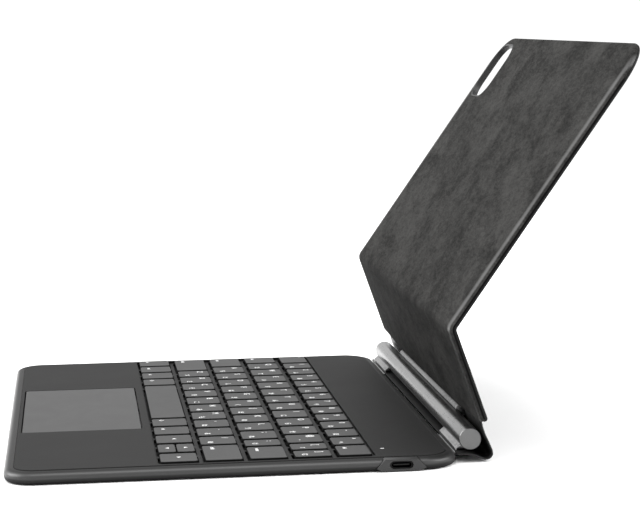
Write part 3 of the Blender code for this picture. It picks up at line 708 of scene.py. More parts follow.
class Form:
    """A mesh being made, in millimetres."""

    def __init__(self) -> None:
        """Start empty."""
        self.bm = bmesh.new()

    def skin(self, rings: Sequence[Iterable[Vector]], closed: bool = True) -> "Form":
        """Skin a row of rings.

        Args:
            rings: Rings with the same number of points.
            closed: True to cap the first and the last ring.

        Returns:
            The form itself.
        """
        loops = [[self.bm.verts.new(p) for p in ring] for ring in rings]
        count = len(loops[0])
        for low, high in zip(loops, loops[1:]):
            for k in range(count):
                self.bm.faces.new((low[k], low[(k + 1) % count], high[(k + 1) % count], high[k]))
        if closed:
            self.bm.faces.new(list(reversed(loops[0])))
            self.bm.faces.new(loops[-1])
        return self

    def plate(self, half_x: float, y0: float, y1: float, front_r: float, rear_r: float, profile: Profile,
              steps: int = 14, mid_x: float = 0.0) -> "Form":
        """Add a rounded plate that follows (inset, height) pairs; see rounded_rect for the rest.

        Args:
            half_x: Half width.
            y0: Front edge.
            y1: Rear edge.
            front_r: Radius of the front corners.
            rear_r: Radius of the rear corners.
            profile: (inset, height) pairs.
            steps: Facets in each corner.
            mid_x: Middle of the width.

        Returns:
            The form itself.
        """
        rings = []
        for inset, z in profile:
            outline = rounded_rect(half_x, y0, y1, front_r, rear_r, inset, steps, mid_x)
            rings.append([Vector((x, y, z)) for x, y in outline])
        return self.skin(rings)

    def along_x(self, points: Sequence[Pair], x0: float, x1: float) -> "Form":
        """Run a (y, z) outline along X."""
        return self.skin([[Vector((x, y, z)) for y, z in points] for x in (x0, x1)])

    def bar(self, centre: Vector, stations: Sequence[tuple[float, float]], segments: int = 96) -> "Form":
        """Turned bar along X through (x, radius) pairs."""
        turns = arc(0, 360, segments)[:-1]
        return self.skin([[Vector((x, centre.y + r * a, centre.z + r * b)) for a, b in turns] for x, r in stations])

    def box(self, x0: float, x1: float, y0: float, y1: float, z0: float, z1: float) -> "Form":
        """Add a plain block, used as a cutter."""
        corners = ((x0, y0), (x1, y0), (x1, y1), (x0, y1))
        return self.skin([[Vector((x, y, z)) for x, y in corners] for z in (z0, z1)])

    def object(self, name: str) -> bpy.types.Object:
        """Turn the form into an object in metres, with its faces pointing out.

        Args:
            name: The object's name.

        Returns:
            The object.
        """
        bmesh.ops.recalc_face_normals(self.bm, faces=self.bm.faces)
        bmesh.ops.scale(self.bm, vec=(MM, MM, MM), verts=self.bm.verts)
        mesh = bpy.data.meshes.new(name)
        self.bm.to_mesh(mesh)
        self.bm.free()
        return placed(bpy.data.objects.new(name, mesh))


def placed(obj: bpy.types.Object) -> bpy.types.Object:
    """Link an object to the scene."""
    bpy.context.scene.collection.objects.link(obj)
    return obj


def final_mesh(obj: bpy.types.Object) -> bpy.types.Mesh:
    """Copy of an object's mesh with its modifiers applied."""
    bpy.context.view_layer.update()
    return bpy.data.meshes.new_from_object(obj.evaluated_get(bpy.context.evaluated_depsgraph_get()))


def settle(obj: bpy.types.Object) -> bpy.types.Object:
    """Apply an object's modifiers to its mesh.

    Args:
        obj: The object.

    Returns:
        The same object.
    """
    mesh = final_mesh(obj)
    obj.modifiers.clear()
    old, obj.data = obj.data, mesh
    bpy.data.meshes.remove(old)
    return obj


class Join(Enum):
    """How a second shape changes the first."""

    CUT = "DIFFERENCE"
    ADD = "UNION"


def combine(obj: bpy.types.Object, other: Form, how: Join = Join.CUT) -> None:
    """Cut one form out of an object, or add it.

    Args:
        obj: The object that changes.
        other: The cutter or the addition.
        how: Whether to cut or to add.
    """
    tool = other.object("shaping_tool")
    step = obj.modifiers.new("shape", "BOOLEAN")
    step.operation, step.solver, step.object = how.value, "EXACT", tool
    settle(obj)
    bpy.data.objects.remove(tool, do_unlink=True)


def soften(obj: bpy.types.Object, width: float, segments: int = 2, angle: float = 40.0) -> bpy.types.Object:
    """Round the sharp edges of an object.

    Args:
        obj: The object.
        width: Width of the rounding.
        segments: Facets across it.
        angle: Edges sharper than this are rounded.

    Returns:
        The object.
    """
    step = obj.modifiers.new("edge", "BEVEL")
    step.width, step.segments = width * MM, segments
    step.limit_method, step.angle_limit = "ANGLE", math.radians(angle)
    step.miter_outer = "MITER_ARC"
    return settle(obj)


def paint(obj: bpy.types.Object, chosen: Callable[[Vector], bool]) -> None:
    """Give the second finish to the faces whose middle, in millimetres, is chosen."""
    for face in obj.data.polygons:
        face.material_index = int(chosen(face.center / MM))


def dress(obj: bpy.types.Object, *finishes: Finish, smooth: float = 32.0,
          place_of: Callable[[Vector], Vector] = Vector) -> bpy.types.Object:
    """Give a finished mesh its materials, shading and rest places.

    Args:
        obj: The object.
        finishes: One finish for each material index.
        smooth: Edges below this angle are shaded round.
        place_of: Maps a point in millimetres to the place that its pattern uses.

    Returns:
        The object.
    """
    mesh = obj.data
    for finish in finishes:
        mesh.materials.append(finish.material())
    mesh.shade_smooth()
    mesh.set_sharp_from_angle(angle=math.radians(smooth))
    for face in mesh.polygons:
        face.use_smooth = face.loop_total <= 4 or face.area < FLAT_FACE_AREA * MM * MM
    places = [value for vert in mesh.vertices for value in place_of(vert.co / MM)]
    mesh.attributes.new(PLACE, "FLOAT_VECTOR", "POINT").data.foreach_set("vector", places)
    return obj


@dataclass
class Assembly:
    """A group of pieces that are made, dressed and put on their bodies together."""

    sizes: CaseSizes = SIZES
    title = "assembly"

    def build(self) -> list[bpy.types.Object]:
        """Make every piece of the group."""
        raise NotImplementedError

    def report(self) -> None:
        """Build the group and log its pieces."""
        for piece in self.build():
            LOG.info("%s: %s, %d faces", self.title, piece.name, len(piece.data.polygons))

    @staticmethod
    def seat(obj: bpy.types.Object, body: str, slot: str, *nodes: str) -> bpy.types.Object:
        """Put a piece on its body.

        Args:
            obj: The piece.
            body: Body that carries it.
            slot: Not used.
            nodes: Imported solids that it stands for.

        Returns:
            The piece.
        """
        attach(obj, body)
        if nodes:
            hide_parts(*nodes)
        return obj

    @staticmethod
    def bridge(obj: bpy.types.Object, bodies: tuple[str, str], start: Vector, end: Vector, slot: str,
               *nodes: str) -> bpy.types.Object:
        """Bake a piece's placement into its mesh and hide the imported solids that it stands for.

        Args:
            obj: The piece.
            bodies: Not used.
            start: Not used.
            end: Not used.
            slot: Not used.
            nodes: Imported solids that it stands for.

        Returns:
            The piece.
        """
        end * MM
        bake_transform(obj)
        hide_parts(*nodes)
        return obj


# ------------------------------------------------------------------------------ base
@dataclass
class BaseShell(Assembly):
    """Soft-edged tray of the base, with the cable port in its right side."""

    title = "base shell"
    rim_drop: float = 0.3
    foot_inset: float = 1.3
    crown_inset: float = 3.6

    def profile(self) -> Profile:
        """Rolled rim, lip and inner wall as (inset, height) pairs.

        Returns:
            The pairs, from the bottom up.
        """
        s = self.sizes
        top = s.base_h - self.rim_drop
        under = s.base_h - s.deck_t - s.gap
        outer = quarter(self.foot_inset, 0.0, 0.0, 2.3, 7, out_first=False)
        outer += quarter(0.0, 2.5, self.crown_inset, top, 10)
        lip = [(s.rim_w - 0.32, top), (s.rim_w - 0.12, top - 0.12), (s.rim_w - 0.1, top - 0.4)]
        wall = [(s.rim_w - 0.1, under), (s.rim_w + s.ledge_w, under), (s.rim_w + s.ledge_w, s.floor_t)]
        return outer + lip + wall

    def build(self) -> list[bpy.types.Object]:
        """Make the shell and its port.

        Returns:
            The pieces.
        """
        s = self.sizes
        form = Form().plate(s.half_w, s.front_y, s.rear_y, s.front_corner_r, s.rear_corner_r, self.profile(), 20)
        shell = form.object("base_rim")
        slots = Form()
        low, high = s.barrel.z - 6.5 - s.gap, s.barrel.z - 5.5 + s.gap
        for side in (-1, 1):
            x0, x1 = sorted((side * (s.knuckle_in - s.gap), side * (s.knuckle_out + s.gap)))
            slots.box(x0, x1, s.rear_y - s.rim_w - 4, s.rear_y + 2, low, high)
        combine(shell, slots)
        combine(shell, self.port_block(s.gap / 2, s.rim_inner + 0.1, s.half_w + 5, 1.0))
        combine(shell, self.slot_form(4.75, s.slot_half + 0.1, s.rim_inner - 4, s.half_w))
        dress(shell, SHELL)
        return [self.seat(shell, "base", "shell", "base_shell"), self.housing(), self.socket()]

    def port_block(self, grow: float, x0: float, x1: float, over: float = 0.0) -> Form:
        """Six-sided block of the port, seen from the side, run along X.

        Args:
            grow: Clearance added round it.
            x0: Inner end.
            x1: Outer end.
            over: Extra height above and below, for a cutter.

        Returns:
            The form.
        """
        s = self.sizes
        z0, z1 = 0.2 - grow, s.base_h - 0.25 + grow
        side = [(s.port_heel / 2 + grow, z0), (s.port_len / 2 + grow, s.port_knee), (s.port_head / 2 + grow, z1)]
        if over:
            side = [(side[0][0], z0 - over)] + side + [(side[-1][0], z1 + over)]
        points = side + [(-y, z) for y, z in reversed(side)]
        return Form().along_x([(s.port_y + y, z) for y, z in points], x0, x1)

    def slot_form(self, half_y: float, half_z: float, x0: float, x1: float) -> Form:
        """Opening with round ends, run along X.

        Args:
            half_y: Half length of the opening.
            half_z: Half height.
            x0: Where it starts.
            x1: Where it ends.

        Returns:
            The form.
        """
        s = self.sizes
        points = []
        for side, start in ((1, -90), (-1, 90)):
            middle = s.port_y + side * (half_y - half_z)
            points += [(middle + half_z * a, s.slot_z + half_z * b) for a, b in arc(start, 180, 12)]
        return Form().along_x(points, x0, x1)

    def housing(self) -> bpy.types.Object:
        """Make the port's block.

        Returns:
            The piece.
        """
        s = self.sizes
        x0, x1 = s.rim_inner + 0.1 + s.gap, s.half_w + s.port_proud
        block = self.port_block(0.0, x0, x1).object("port_block")
        combine(block, self.slot_form(4.6, s.slot_half, x0 - 1, x1 + 1))
        soften(block, 0.28, 3, 25)
        dress(block, PORT_PLASTIC)
        return self.seat(block, "base", "shell", "port_housing")

    def socket(self) -> bpy.types.Object:
        """Make the metal sleeve and its tongue.

        Returns:
            The piece.
        """
        s = self.sizes
        back, front = s.rim_inner - 3.6, s.half_w + s.port_proud - 0.5
        sleeve = self.slot_form(4.35, s.slot_half - 0.12, back, front).object("port_sleeve")
        combine(sleeve, self.slot_form(4.0, s.slot_half - 0.42, back + 1, front + 1))
        tongue = Form().box(back + 0.5, front - 0.6, s.port_y - 3.2, s.port_y + 3.2, s.slot_z - 0.3, s.slot_z + 0.3)
        combine(sleeve, tongue, Join.ADD)
        soften(sleeve, 0.06, 2, 30)
        dress(sleeve, SOCKET_METAL)
        return self.seat(sleeve, "base", "steel", "usb_socket")


@dataclass
class Deck(Assembly):
    """Deck plate with the key opening, the trackpad opening and the status lamp."""

    title = "deck"
    edge_r: float = 0.28

    def lamp_form(self, grow: float, z0: float, z1: float) -> Form:
        """Small upright capsule of the status lamp.

        Args:
            grow: Distance added round the lamp.
            z0: Bottom.
            z1: Top.

        Returns:
            The form.
        """
        s = self.sizes
        x_mid, y_mid = s.key_block_half - s.lamp_inset, s.keys_rear_y + s.lamp_from_keys
        half_x, half_y = 0.35 + grow, 0.8 + grow
        radius = half_x - 0.01
        return Form().plate(half_x, y_mid - half_y, y_mid + half_y, radius, radius, [(0, z0), (0, z1)], 8, x_mid)

    def build(self) -> list[bpy.types.Object]:
        """Make the deck, the lamp and the trackpad.

        Returns:
            The pieces.
        """
        s = self.sizes
        inset, edge, hole = s.rim_w, self.edge_r, s.key_hole_edge
        profile = [(inset, s.base_h - s.deck_t)] + quarter(inset, s.base_h - edge, inset + edge, s.base_h, 4)
        form = Form().plate(s.half_w, s.front_y, s.rear_y, s.front_corner_r, s.rear_corner_r, profile, 20)
        deck = form.object("deck_skin")
        through = [(0, 0.0), (0, 9.0)]
        combine(deck, Form().plate(s.key_block_half + hole, s.keys_y - hole, s.keys_rear_y + hole, 2.4, 2.4,
                                   through, 10))
        front = s.front_y + s.pad_front
        rear = front + s.pad_d
        combine(deck, Form().plate(s.pad_w / 2 + 0.4, front - 0.55, rear + 0.5, 1.6, 1.6, through, 6))
        combine(deck, self.lamp_form(0.08, 0.0, 9.0))
        soften(deck, 0.16, 3, 60)
        dress(deck, DECK)
        lamp = dress(self.lamp_form(0.0, s.base_h - 0.8, s.base_h - 0.02).object("lamp_lens"), LAMP)
        return [
            self.seat(deck, "base", "deck", "deck_plate"),
            self.seat(lamp, "base", "lamp", "status_led"),
            self.trackpad(front, rear),
        ]

    def trackpad(self, front: float, rear: float) -> bpy.types.Object:
        """Make the trackpad plate between its front and rear edges.

        Args:
            front: Front edge.
            rear: Rear edge.

        Returns:
            The piece.
        """
        s = self.sizes
        top = s.base_h - 0.05
        profile = [(0.3, top - s.pad_t), (0, top - s.pad_t + 0.3)] + quarter(0, top - 0.22, 0.22, top, 5)
        pad = Form().plate(s.pad_w / 2, front, rear, 1.2, 1.2, profile, 6).object("trackpad_surface")
        # Painted shade on the trackpad's sides, in the gap round it.
        paint(pad, lambda at: at.z < top - 0.08)
        dress(pad, PAD, GAP_SHADE)
        return self.seat(pad, "trackpad", "pad", "trackpad_plate")


# ------------------------------------------------------------------------------ keys
@dataclass(frozen=True)
class KeyPlace:
    """One key: its name, row and edges."""

    name: str
    row: int
    x0: float
    x1: float
    y0: float
    y1: float


class Spot(Enum):
    """Where a legend sits on its cap, as shares of the cap's half sizes."""

    UPPER_LEFT = (-0.5, 0.42)
    LOWER_RIGHT = (0.5, -0.46)
    LOWER_LEFT = (-0.5, -0.46)
    CENTRE = (0.0, 0.0)


@dataclass(frozen=True)
class Legend:
    """One printed mark."""

    text: str
    size: float
    spot: Spot


LETTERS = dict(zip("qwertyuiopasdfghjklzxcvbnm", "たていすかんなにらせちとしはきくまのりつさそひこみも"))
NUMBERS = dict(zip(("one", "two", "three", "four", "five", "six", "seven", "eight", "nine", "zero"),
                   ("1ぬ", "2ふ", "3あ", "4う", "5え", "6お", "7や", "8ゆ", "9よ", "0わ")))
SIGNS = {"comma": ",ね", "period": ".る", "slash": "/め", "semicolon": ";れ", "quote": ":け", "bracket": "@゛",
         "bracket_right": "[「", "minus": "-ほ", "equals": "^へ", "backslash": "]む", "grave": "`"}
WORDS = {"fn": "fn", "control": "ctrl", "alt_left": "alt", "alt_right": "alt", "meta_left": "◇", "meta_right": "◇",
         "shift_left": "shift", "shift_right": "shift", "caps": "caps", "tab": "tab", "enter": "enter",
         "delete": "del"}
ARROWS = {"arrow_up": "▲", "arrow_down": "▼", "arrow_left": "◀", "arrow_right": "▶"}


@dataclass
class Keyboard(Assembly):
    """Dark tray and every key cap with its legends."""

    title = "keyboard"
    tray_drop: float = 1.15
    pocket: float = 0.7
    top_r: float = 0.42
    mark_room: float = 3.4

    def rows(self) -> list[list[tuple[str, float, float]]]:
        """Rows of (name, left, right) in key pitches.

        Returns:
            The rows, from the front to the rear.
        """
        gap = self.sizes.key_gap / self.sizes.unit
        cap = 1.0 - gap

        def run(names: Sequence[str], first: float, pitch: float = 1.0, width: float | None = None) -> list:
            """Keys at an even pitch, whose first right edge is given."""
            wide = pitch - gap if width is None else width
            return [(n, first + k * pitch - wide, first + k * pitch) for k, n in enumerate(names)]

        row1 = run(("fn", "control", "alt_left", "meta_left"), 0.81, width=cap) + [("space", 3.81 + gap, 8.37)]
        row1 += run(("meta_right", "alt_right", "arrow_left"), 9.37, width=cap)
        row1 += run(("arrow_up", "arrow_right"), 12.385, 1.015, width=cap) + [("arrow_down", 12.385 - cap, 12.385)]
        row2 = [("shift_left", 0.0, 1.70)] + run([*"zxcvbnm", "comma", "period", "slash"], 2.70)
        row2 += [("shift_right", 11.70 + gap, 13.40)]
        row3 = [("caps", 0.0, 1.25)] + run([*"asdfghjkl", "semicolon"], 2.25)
        row3 += [("quote", 11.25 + gap, 12.04), ("enter", 12.04 + gap, 13.40)]
        row4 = [("tab", 0.0, 0.86)] + run([*"qwertyuiop", "bracket"], 1.86)
        row4 += [("bracket_right", 11.86 + gap, 12.62), ("backslash", 12.62 + gap, 13.40)]
        row5 = [("grave", 0.0, 1.0)] + run([*NUMBERS, "minus", "equals"], 1.936, 0.938)
        row5 += [("delete", 1.936 + 11 * 0.938 + gap, 13.40)]
        return [row1, row2, row3, row4, row5]

    def places(self) -> list[KeyPlace]:
        """Every key with its edges.

        Returns:
            The keys, row by row.
        """
        s = self.sizes
        found = []
        for row, keys in enumerate(self.rows(), start=1):
            front = s.keys_y + (row - 1) * s.row_pitch
            depth = s.key_depth * (s.number_row_share if row == 5 else 1.0)
            for name, left, right in keys:
                y0 = front + depth / 2 + 0.25 if name == "arrow_up" else front
                y1 = front + depth / 2 - 0.25 if name == "arrow_down" else front + depth
                x0, x1 = (-s.key_block_half + edge * s.unit for edge in (left, right))
                found.append(KeyPlace(name, row, x0, x1, y0, y1))
        return found

    def legends(self, name: str) -> list[Legend]:
        """Marks printed on one key.

        Args:
            name: The key's name.

        Returns:
            The marks; none for a bare key.
        """
        if name in LETTERS:
            return [Legend(name.upper(), 4.0, Spot.UPPER_LEFT), Legend(LETTERS[name], 3.2, Spot.LOWER_RIGHT)]
        if name in NUMBERS or name in SIGNS:
            pair = NUMBERS.get(name) or SIGNS[name]
            marks = [Legend(pair[0], 3.8, Spot.UPPER_LEFT)]
            return marks + [Legend(c, 3.0, Spot.LOWER_RIGHT) for c in pair[1:]]
        if name in ARROWS:
            return [Legend(ARROWS[name], 1.9, Spot.CENTRE)]
        if name in WORDS:
            return [Legend(WORDS[name], 2.3, Spot.LOWER_LEFT)]
        return []

    def build(self) -> list[bpy.types.Object]:
        """Make the tray and the caps."""
        places = self.places()
        return [self.tray(places)] + [self.cap(place) for place in places]

    def tray(self, places: list[KeyPlace]) -> bpy.types.Object:
        """Make the dark web round the keys.

        Args:
            places: Every key.

        Returns:
            The piece.
        """
        s = self.sizes
        edge = s.key_margin - s.ledge_w - s.gap - 0.1
        top = s.base_h - self.tray_drop
        profile = [(0, s.bed_top - 0.8), (0, top - 0.15), (0.15, top)]
        form = Form().plate(s.key_block_half + edge, s.keys_y - 2.4, s.keys_rear_y + 2.4, 2.4, 2.4, profile, 6)
        tray = form.object("key_tray")
        pockets = Form()
        for p in places:
            if p.name == "arrow_down":
                continue
            front = (s.keys_y if p.name == "arrow_up" else p.y0) - self.pocket
            pockets.plate((p.x1 - p.x0) / 2 + self.pocket, front, p.y1 + self.pocket, 1.5, 1.5,
                          [(0, s.bed_top), (0, top + 1)], 4, (p.x0 + p.x1) / 2)
        combine(tray, pockets)
        soften(tray, 0.1, 2, 60)
        # Painted shade on the walls and floors of the pockets.
        paint(tray, lambda at: at.z < top - 0.12)
        dress(tray, TRAY, GAP_SHADE)
        return self.seat(tray, "base", "bed", "key_bed")

    def cap(self, place: KeyPlace) -> bpy.types.Object:
        """Make one key cap with its legends.

        Args:
            place: The key.

        Returns:
            The piece.
        """
        s = self.sizes
        mid, half = (place.x0 + place.x1) / 2, (place.x1 - place.x0) / 2
        radius, top = s.key_corner_r, s.key_top
        shoulder = top - self.top_r
        skirt = [(0.1, s.key_bottom), (0.0, s.key_bottom + 0.12), (0.0, shoulder)]
        crown = quarter(0.0, shoulder, self.top_r, top, 4)[1:]
        crown += [(0.9, top - 0.004), (2.2, top - 0.03), (min(half, (place.y1 - place.y0) / 2) * 0.85, top - 0.05)]
        form = Form().plate(half, place.y0, place.y1, radius, radius, skirt + crown, 6, mid)
        cap = form.object("cap_" + place.name)
        # Painted shade on the skirt and the rounded top edge of the cap.
        paint(cap, lambda at: at.z < top - 0.1)
        for legend in self.legends(place.name):
            self.print_legend(cap, legend, place)
        dress(cap, KEY, GAP_SHADE, INK)
        if place.row <= 3:
            return self.seat(cap, "cap_" + place.name, "key", "key_" + place.name)
        return self.seat(cap, "base", "key")

    def print_legend(self, cap: bpy.types.Object, legend: Legend, place: KeyPlace) -> None:
        """Lay one mark on a cap as a thin raised print.

        Args:
            cap: The cap's object.
            legend: The mark.
            place: The key.
        """
        curve = bpy.data.curves.new("legend", "FONT")
        curve.body, curve.size, curve.resolution_u = legend.text, legend.size * MM, 3
        curve.align_x, curve.align_y, curve.extrude = "CENTER", "CENTER", 0.05 * MM
        curve.offset = 0.03 * MM
        share_x, share_y = legend.spot.value
        x = (place.x0 + place.x1) / 2
        if share_x:
            word = max(len(legend.text) - 1, 0) * legend.size * 0.22
            x += math.copysign((place.x1 - place.x0) / 2 - self.mark_room - word, share_x)
        y = (place.y0 + place.y1) / 2 + share_y * (place.y1 - place.y0) / 2
        holder = placed(bpy.data.objects.new("legend", curve))
        holder.location = Vector((x, y, self.sizes.key_top + 0.005)) * MM
        mesh = final_mesh(holder)
        mesh.transform(holder.matrix_world)
        joined = bmesh.new()
        joined.from_mesh(cap.data)
        before = len(joined.faces)
        joined.from_mesh(mesh)
        joined.faces.ensure_lookup_table()
        for face in joined.faces[before:]:
            face.material_index = 2
        joined.to_mesh(cap.data)
        joined.free()
        bpy.data.objects.remove(holder, do_unlink=True)
        bpy.data.curves.remove(curve)
        bpy.data.meshes.remove(mesh)


# ------------------------------------------------------------------------------ hinge
@dataclass
class BarrelHinge(Assembly):
    """Barrel in three lengths, its knuckles on the base and its bracket on the lid."""

    title = "barrel hinge"
    end_r: float = 0.4
    joint_r: float = 0.02
    joint_gap: float = 0.03

    def build(self) -> list[bpy.types.Object]:
        """Make the two ends, the middle tube and the bracket."""
        return [self.end(-1, "left"), self.end(1, "right"), self.tube(), self.bracket()]

    def end(self, side: int, label: str) -> bpy.types.Object:
        """Make one barrel end with its knuckle.

        Args:
            side: -1 for the left end and 1 for the right.
            label: Word used in the names.

        Returns:
            The piece.
        """
        s = self.sizes
        inner, outer = s.knuckle_in + self.joint_gap, s.barrel_len / 2
        stations = [(inner, s.barrel_r - self.joint_r), (inner + self.joint_r, s.barrel_r)]
        stations += [(outer - self.end_r * (1 - b), s.barrel_r - self.end_r * (1 - a)) for a, b in arc(0, 90, 6)]
        end = Form().bar(s.barrel, [(side * x, r) for x, r in stations]).object("barrel_end_" + label)
        k0, k1 = sorted((side * (s.knuckle_in + s.gap), side * s.knuckle_out))
        knuckle = Form().along_x(self.knuckle_points(), k0, k1).object("knuckle_" + label)
        soften(knuckle, 0.3, 3, 25)
        dress(knuckle, BRACKET_METAL)
        self.seat(knuckle, "base", "aluminium")
        paint(end, lambda at: abs(at.x) > outer - 0.07)
        dress(end, BARREL_METAL, BARREL_END_SHADED)
        return self.seat(end, "base", "aluminium", "hinge_end_" + label)

    def knuckle_points(self) -> list[Pair]:
        """Side view of a knuckle.

        Returns:
            (y, z) pairs.
        """
        s = self.sizes
        reach, low = s.barrel_rear - s.gap, s.barrel_r
        points = [
            (-0.6, -low + 0.04), (-reach + 1.0, -low), (-reach + 1.0, -low - 1.95), (-s.tongue_reach, -low - 1.95),
            (-s.tongue_reach, -low - 0.95), (-reach, -low - 0.95), (-reach, -low + 0.85),
            (-reach + 0.7, -low + 1.2), (-low * 0.84, -low * 0.46), (-1.0, -1.0),
        ]
        return [(s.barrel.y + y, s.barrel.z + z) for y, z in points]

    def tube(self) -> bpy.types.Object:
        """Make the middle length of the barrel.

        Returns:
            The piece.
        """
        s = self.sizes
        half, r, edge = s.knuckle_in - self.joint_gap, s.barrel_r, self.joint_r
        tube = Form().bar(s.barrel, [(-half, r - edge), (-half + edge, r), (half - edge, r), (half, r - edge)])
        obj = dress(tube.object("barrel_sleeve"), BARREL_METAL)
        return self.seat(obj, "lower_panel", "aluminium", "barrel_tube")

    def bracket(self) -> bpy.types.Object:
        """Make the saddle and leaf that carry the lid.

        Returns:
            The piece.
        """
        s = self.sizes
        inner, top = s.barrel_r + 0.03, s.lining_foot - 0.1
        points = [(inner * b, -inner * a) for a, b in arc(0, s.lip_turn, 12)]
        points += [(3.95, -3.02), (4.4, -3.3), (4.78, -3.75), (4.98, -4.25), (top, -s.face_offset - 0.1)]
        points += [(top, -s.leaf_front), (s.leaf_len, -s.leaf_front)]
        points += [(s.leaf_len, -s.leaf_back), (0.0, -s.leaf_back)]
        world = [s.barrel + s.lower * y + across(s.lower) * z for y, z in points]
        form = Form().along_x([(p.y, p.z) for p in world], -s.saddle_half, s.saddle_half)
        obj = soften(form.object("lid_saddle"), 0.18, 2, 30)
        dress(obj, SADDLE_METAL)
        return self.seat(obj, "lower_panel", "steel", "lid_bracket")


@dataclass
class Spine(Assembly):
    """Flexible black skin from the base, round the barrel, to the lid."""

    title = "spine"
    thick: float = 0.85
    steps: int = 4
    curve: tuple[Pair, ...] = (
        (4.3, 7.0), (4.9, 4.6), (5.75, 2.2), (6.75, 0.0), (7.9, -2.6), (8.7, -4.8), (8.6, -6.5),
        (7.4, -7.8), (5.6, -8.1), (3.4, -7.5), (1.2, -6.5), (-1.5, -5.95), (-3.8, -5.82),
    )

    def knots(self, share: float) -> list[Vector]:
        """Points of the outer line as (y, z) offsets from the barrel axis.

        Args:
            share: 1 where the skin swells out over the bracket, 0 where it lies close to the barrel.

        Returns:
            The points, from the lid to the base.
        """
        s = self.sizes
        along, out = s.lower, -across(s.lower)
        start = along * (8.0 - s.gap) + out * (s.face_offset + 2.0)
        clear = s.leaf_back + s.gap + self.thick + 0.05
        found = []
        for y, z in ((start.y, start.z), *self.curve):
            point = Vector((0, y, z))
            behind = point.dot(out)
            fade = max(0.0, min(1.0, 1.0 + (point.dot(along) + 0.5) / 6.0)) if behind > 3.0 else 0.0
            point += out * (share * fade * max(0.0, clear - behind))
            found.append(point.yz)
        return found + [Vector((-s.barrel_rear + s.gap, -5.82))]

    def outer_line(self, share: float) -> list[Vector]:
        """Smooth line through the knots; see knots for the share.

        Args:
            share: See knots.

        Returns:
            The points, from the lid to the base.
        """
        knots = self.knots(share)
        line = []
        for k, (a, b) in enumerate(zip(knots, knots[1:])):
            before, after = knots[max(k - 1, 0)], knots[min(k + 2, len(knots) - 1)]
            for t in (step / self.steps for step in range(self.steps)):
                line.append(0.5 * (2 * a + (b - before) * t + (2 * before - 5 * a + 4 * b - after) * t * t
                                   + (3 * a - before - 3 * b + after) * t ** 3))
        return line + [knots[-1]]

    def stations(self) -> list[tuple[float, float, float]]:
        """(x, share, slim) across the case; slim thins the skin at its sides.

        Returns:
            The stations, from left to right.
        """
        swell, half = self.sizes.saddle_half + 1.0, self.sizes.spine_half_w
        right = [(swell, 1.0, 0.0)]
        right += [(swell + 8.0 * t, 0.5 + 0.5 * math.cos(math.pi * t), 0.0) for t in (0.2, 0.4, 0.6, 0.8, 1.0)]
        right += [(half - 0.6, 0.0, 0.0), (half - 0.35, 0.0, 0.06), (half - 0.12, 0.0, 0.2), (half, 0.0, 0.5)]
        return [(-x, share, slim) for x, share, slim in reversed(right)] + [(0.0, 1.0, 0.0)] + right

    def build(self) -> list[bpy.types.Object]:
        """Make the skin as one sheet round the barrel hinge.

        Returns:
            The piece, in a list.
        """
        s = self.sizes
        rings = []
        for x, share, slim in self.stations():
            line = self.outer_line(share)
            outer, inner = [], []
            for k, point in enumerate(line):
                run = line[min(k + 1, len(line) - 1)] - line[max(k - 1, 0)]
                normal = Vector((run.y, -run.x)).normalized() * self.thick
                for side, depth in ((outer, slim), (inner, 1 - slim)):
                    place = point + normal * depth
                    side.append(Vector((x, s.barrel.y + place.x, s.barrel.z + place.y)))
            rings.append(outer + list(reversed(inner)))
        skin = dress(Form().skin(rings).object("spine_skin"), SPINE, smooth=60)
        start, end = s.barrel + Vector((0, -5.9, -5.8)), s.barrel + Vector((0, 3.4, 9.0))
        return [self.bridge(skin, ("base", "lower_panel"), start, end, "spine", "spine_strip")]


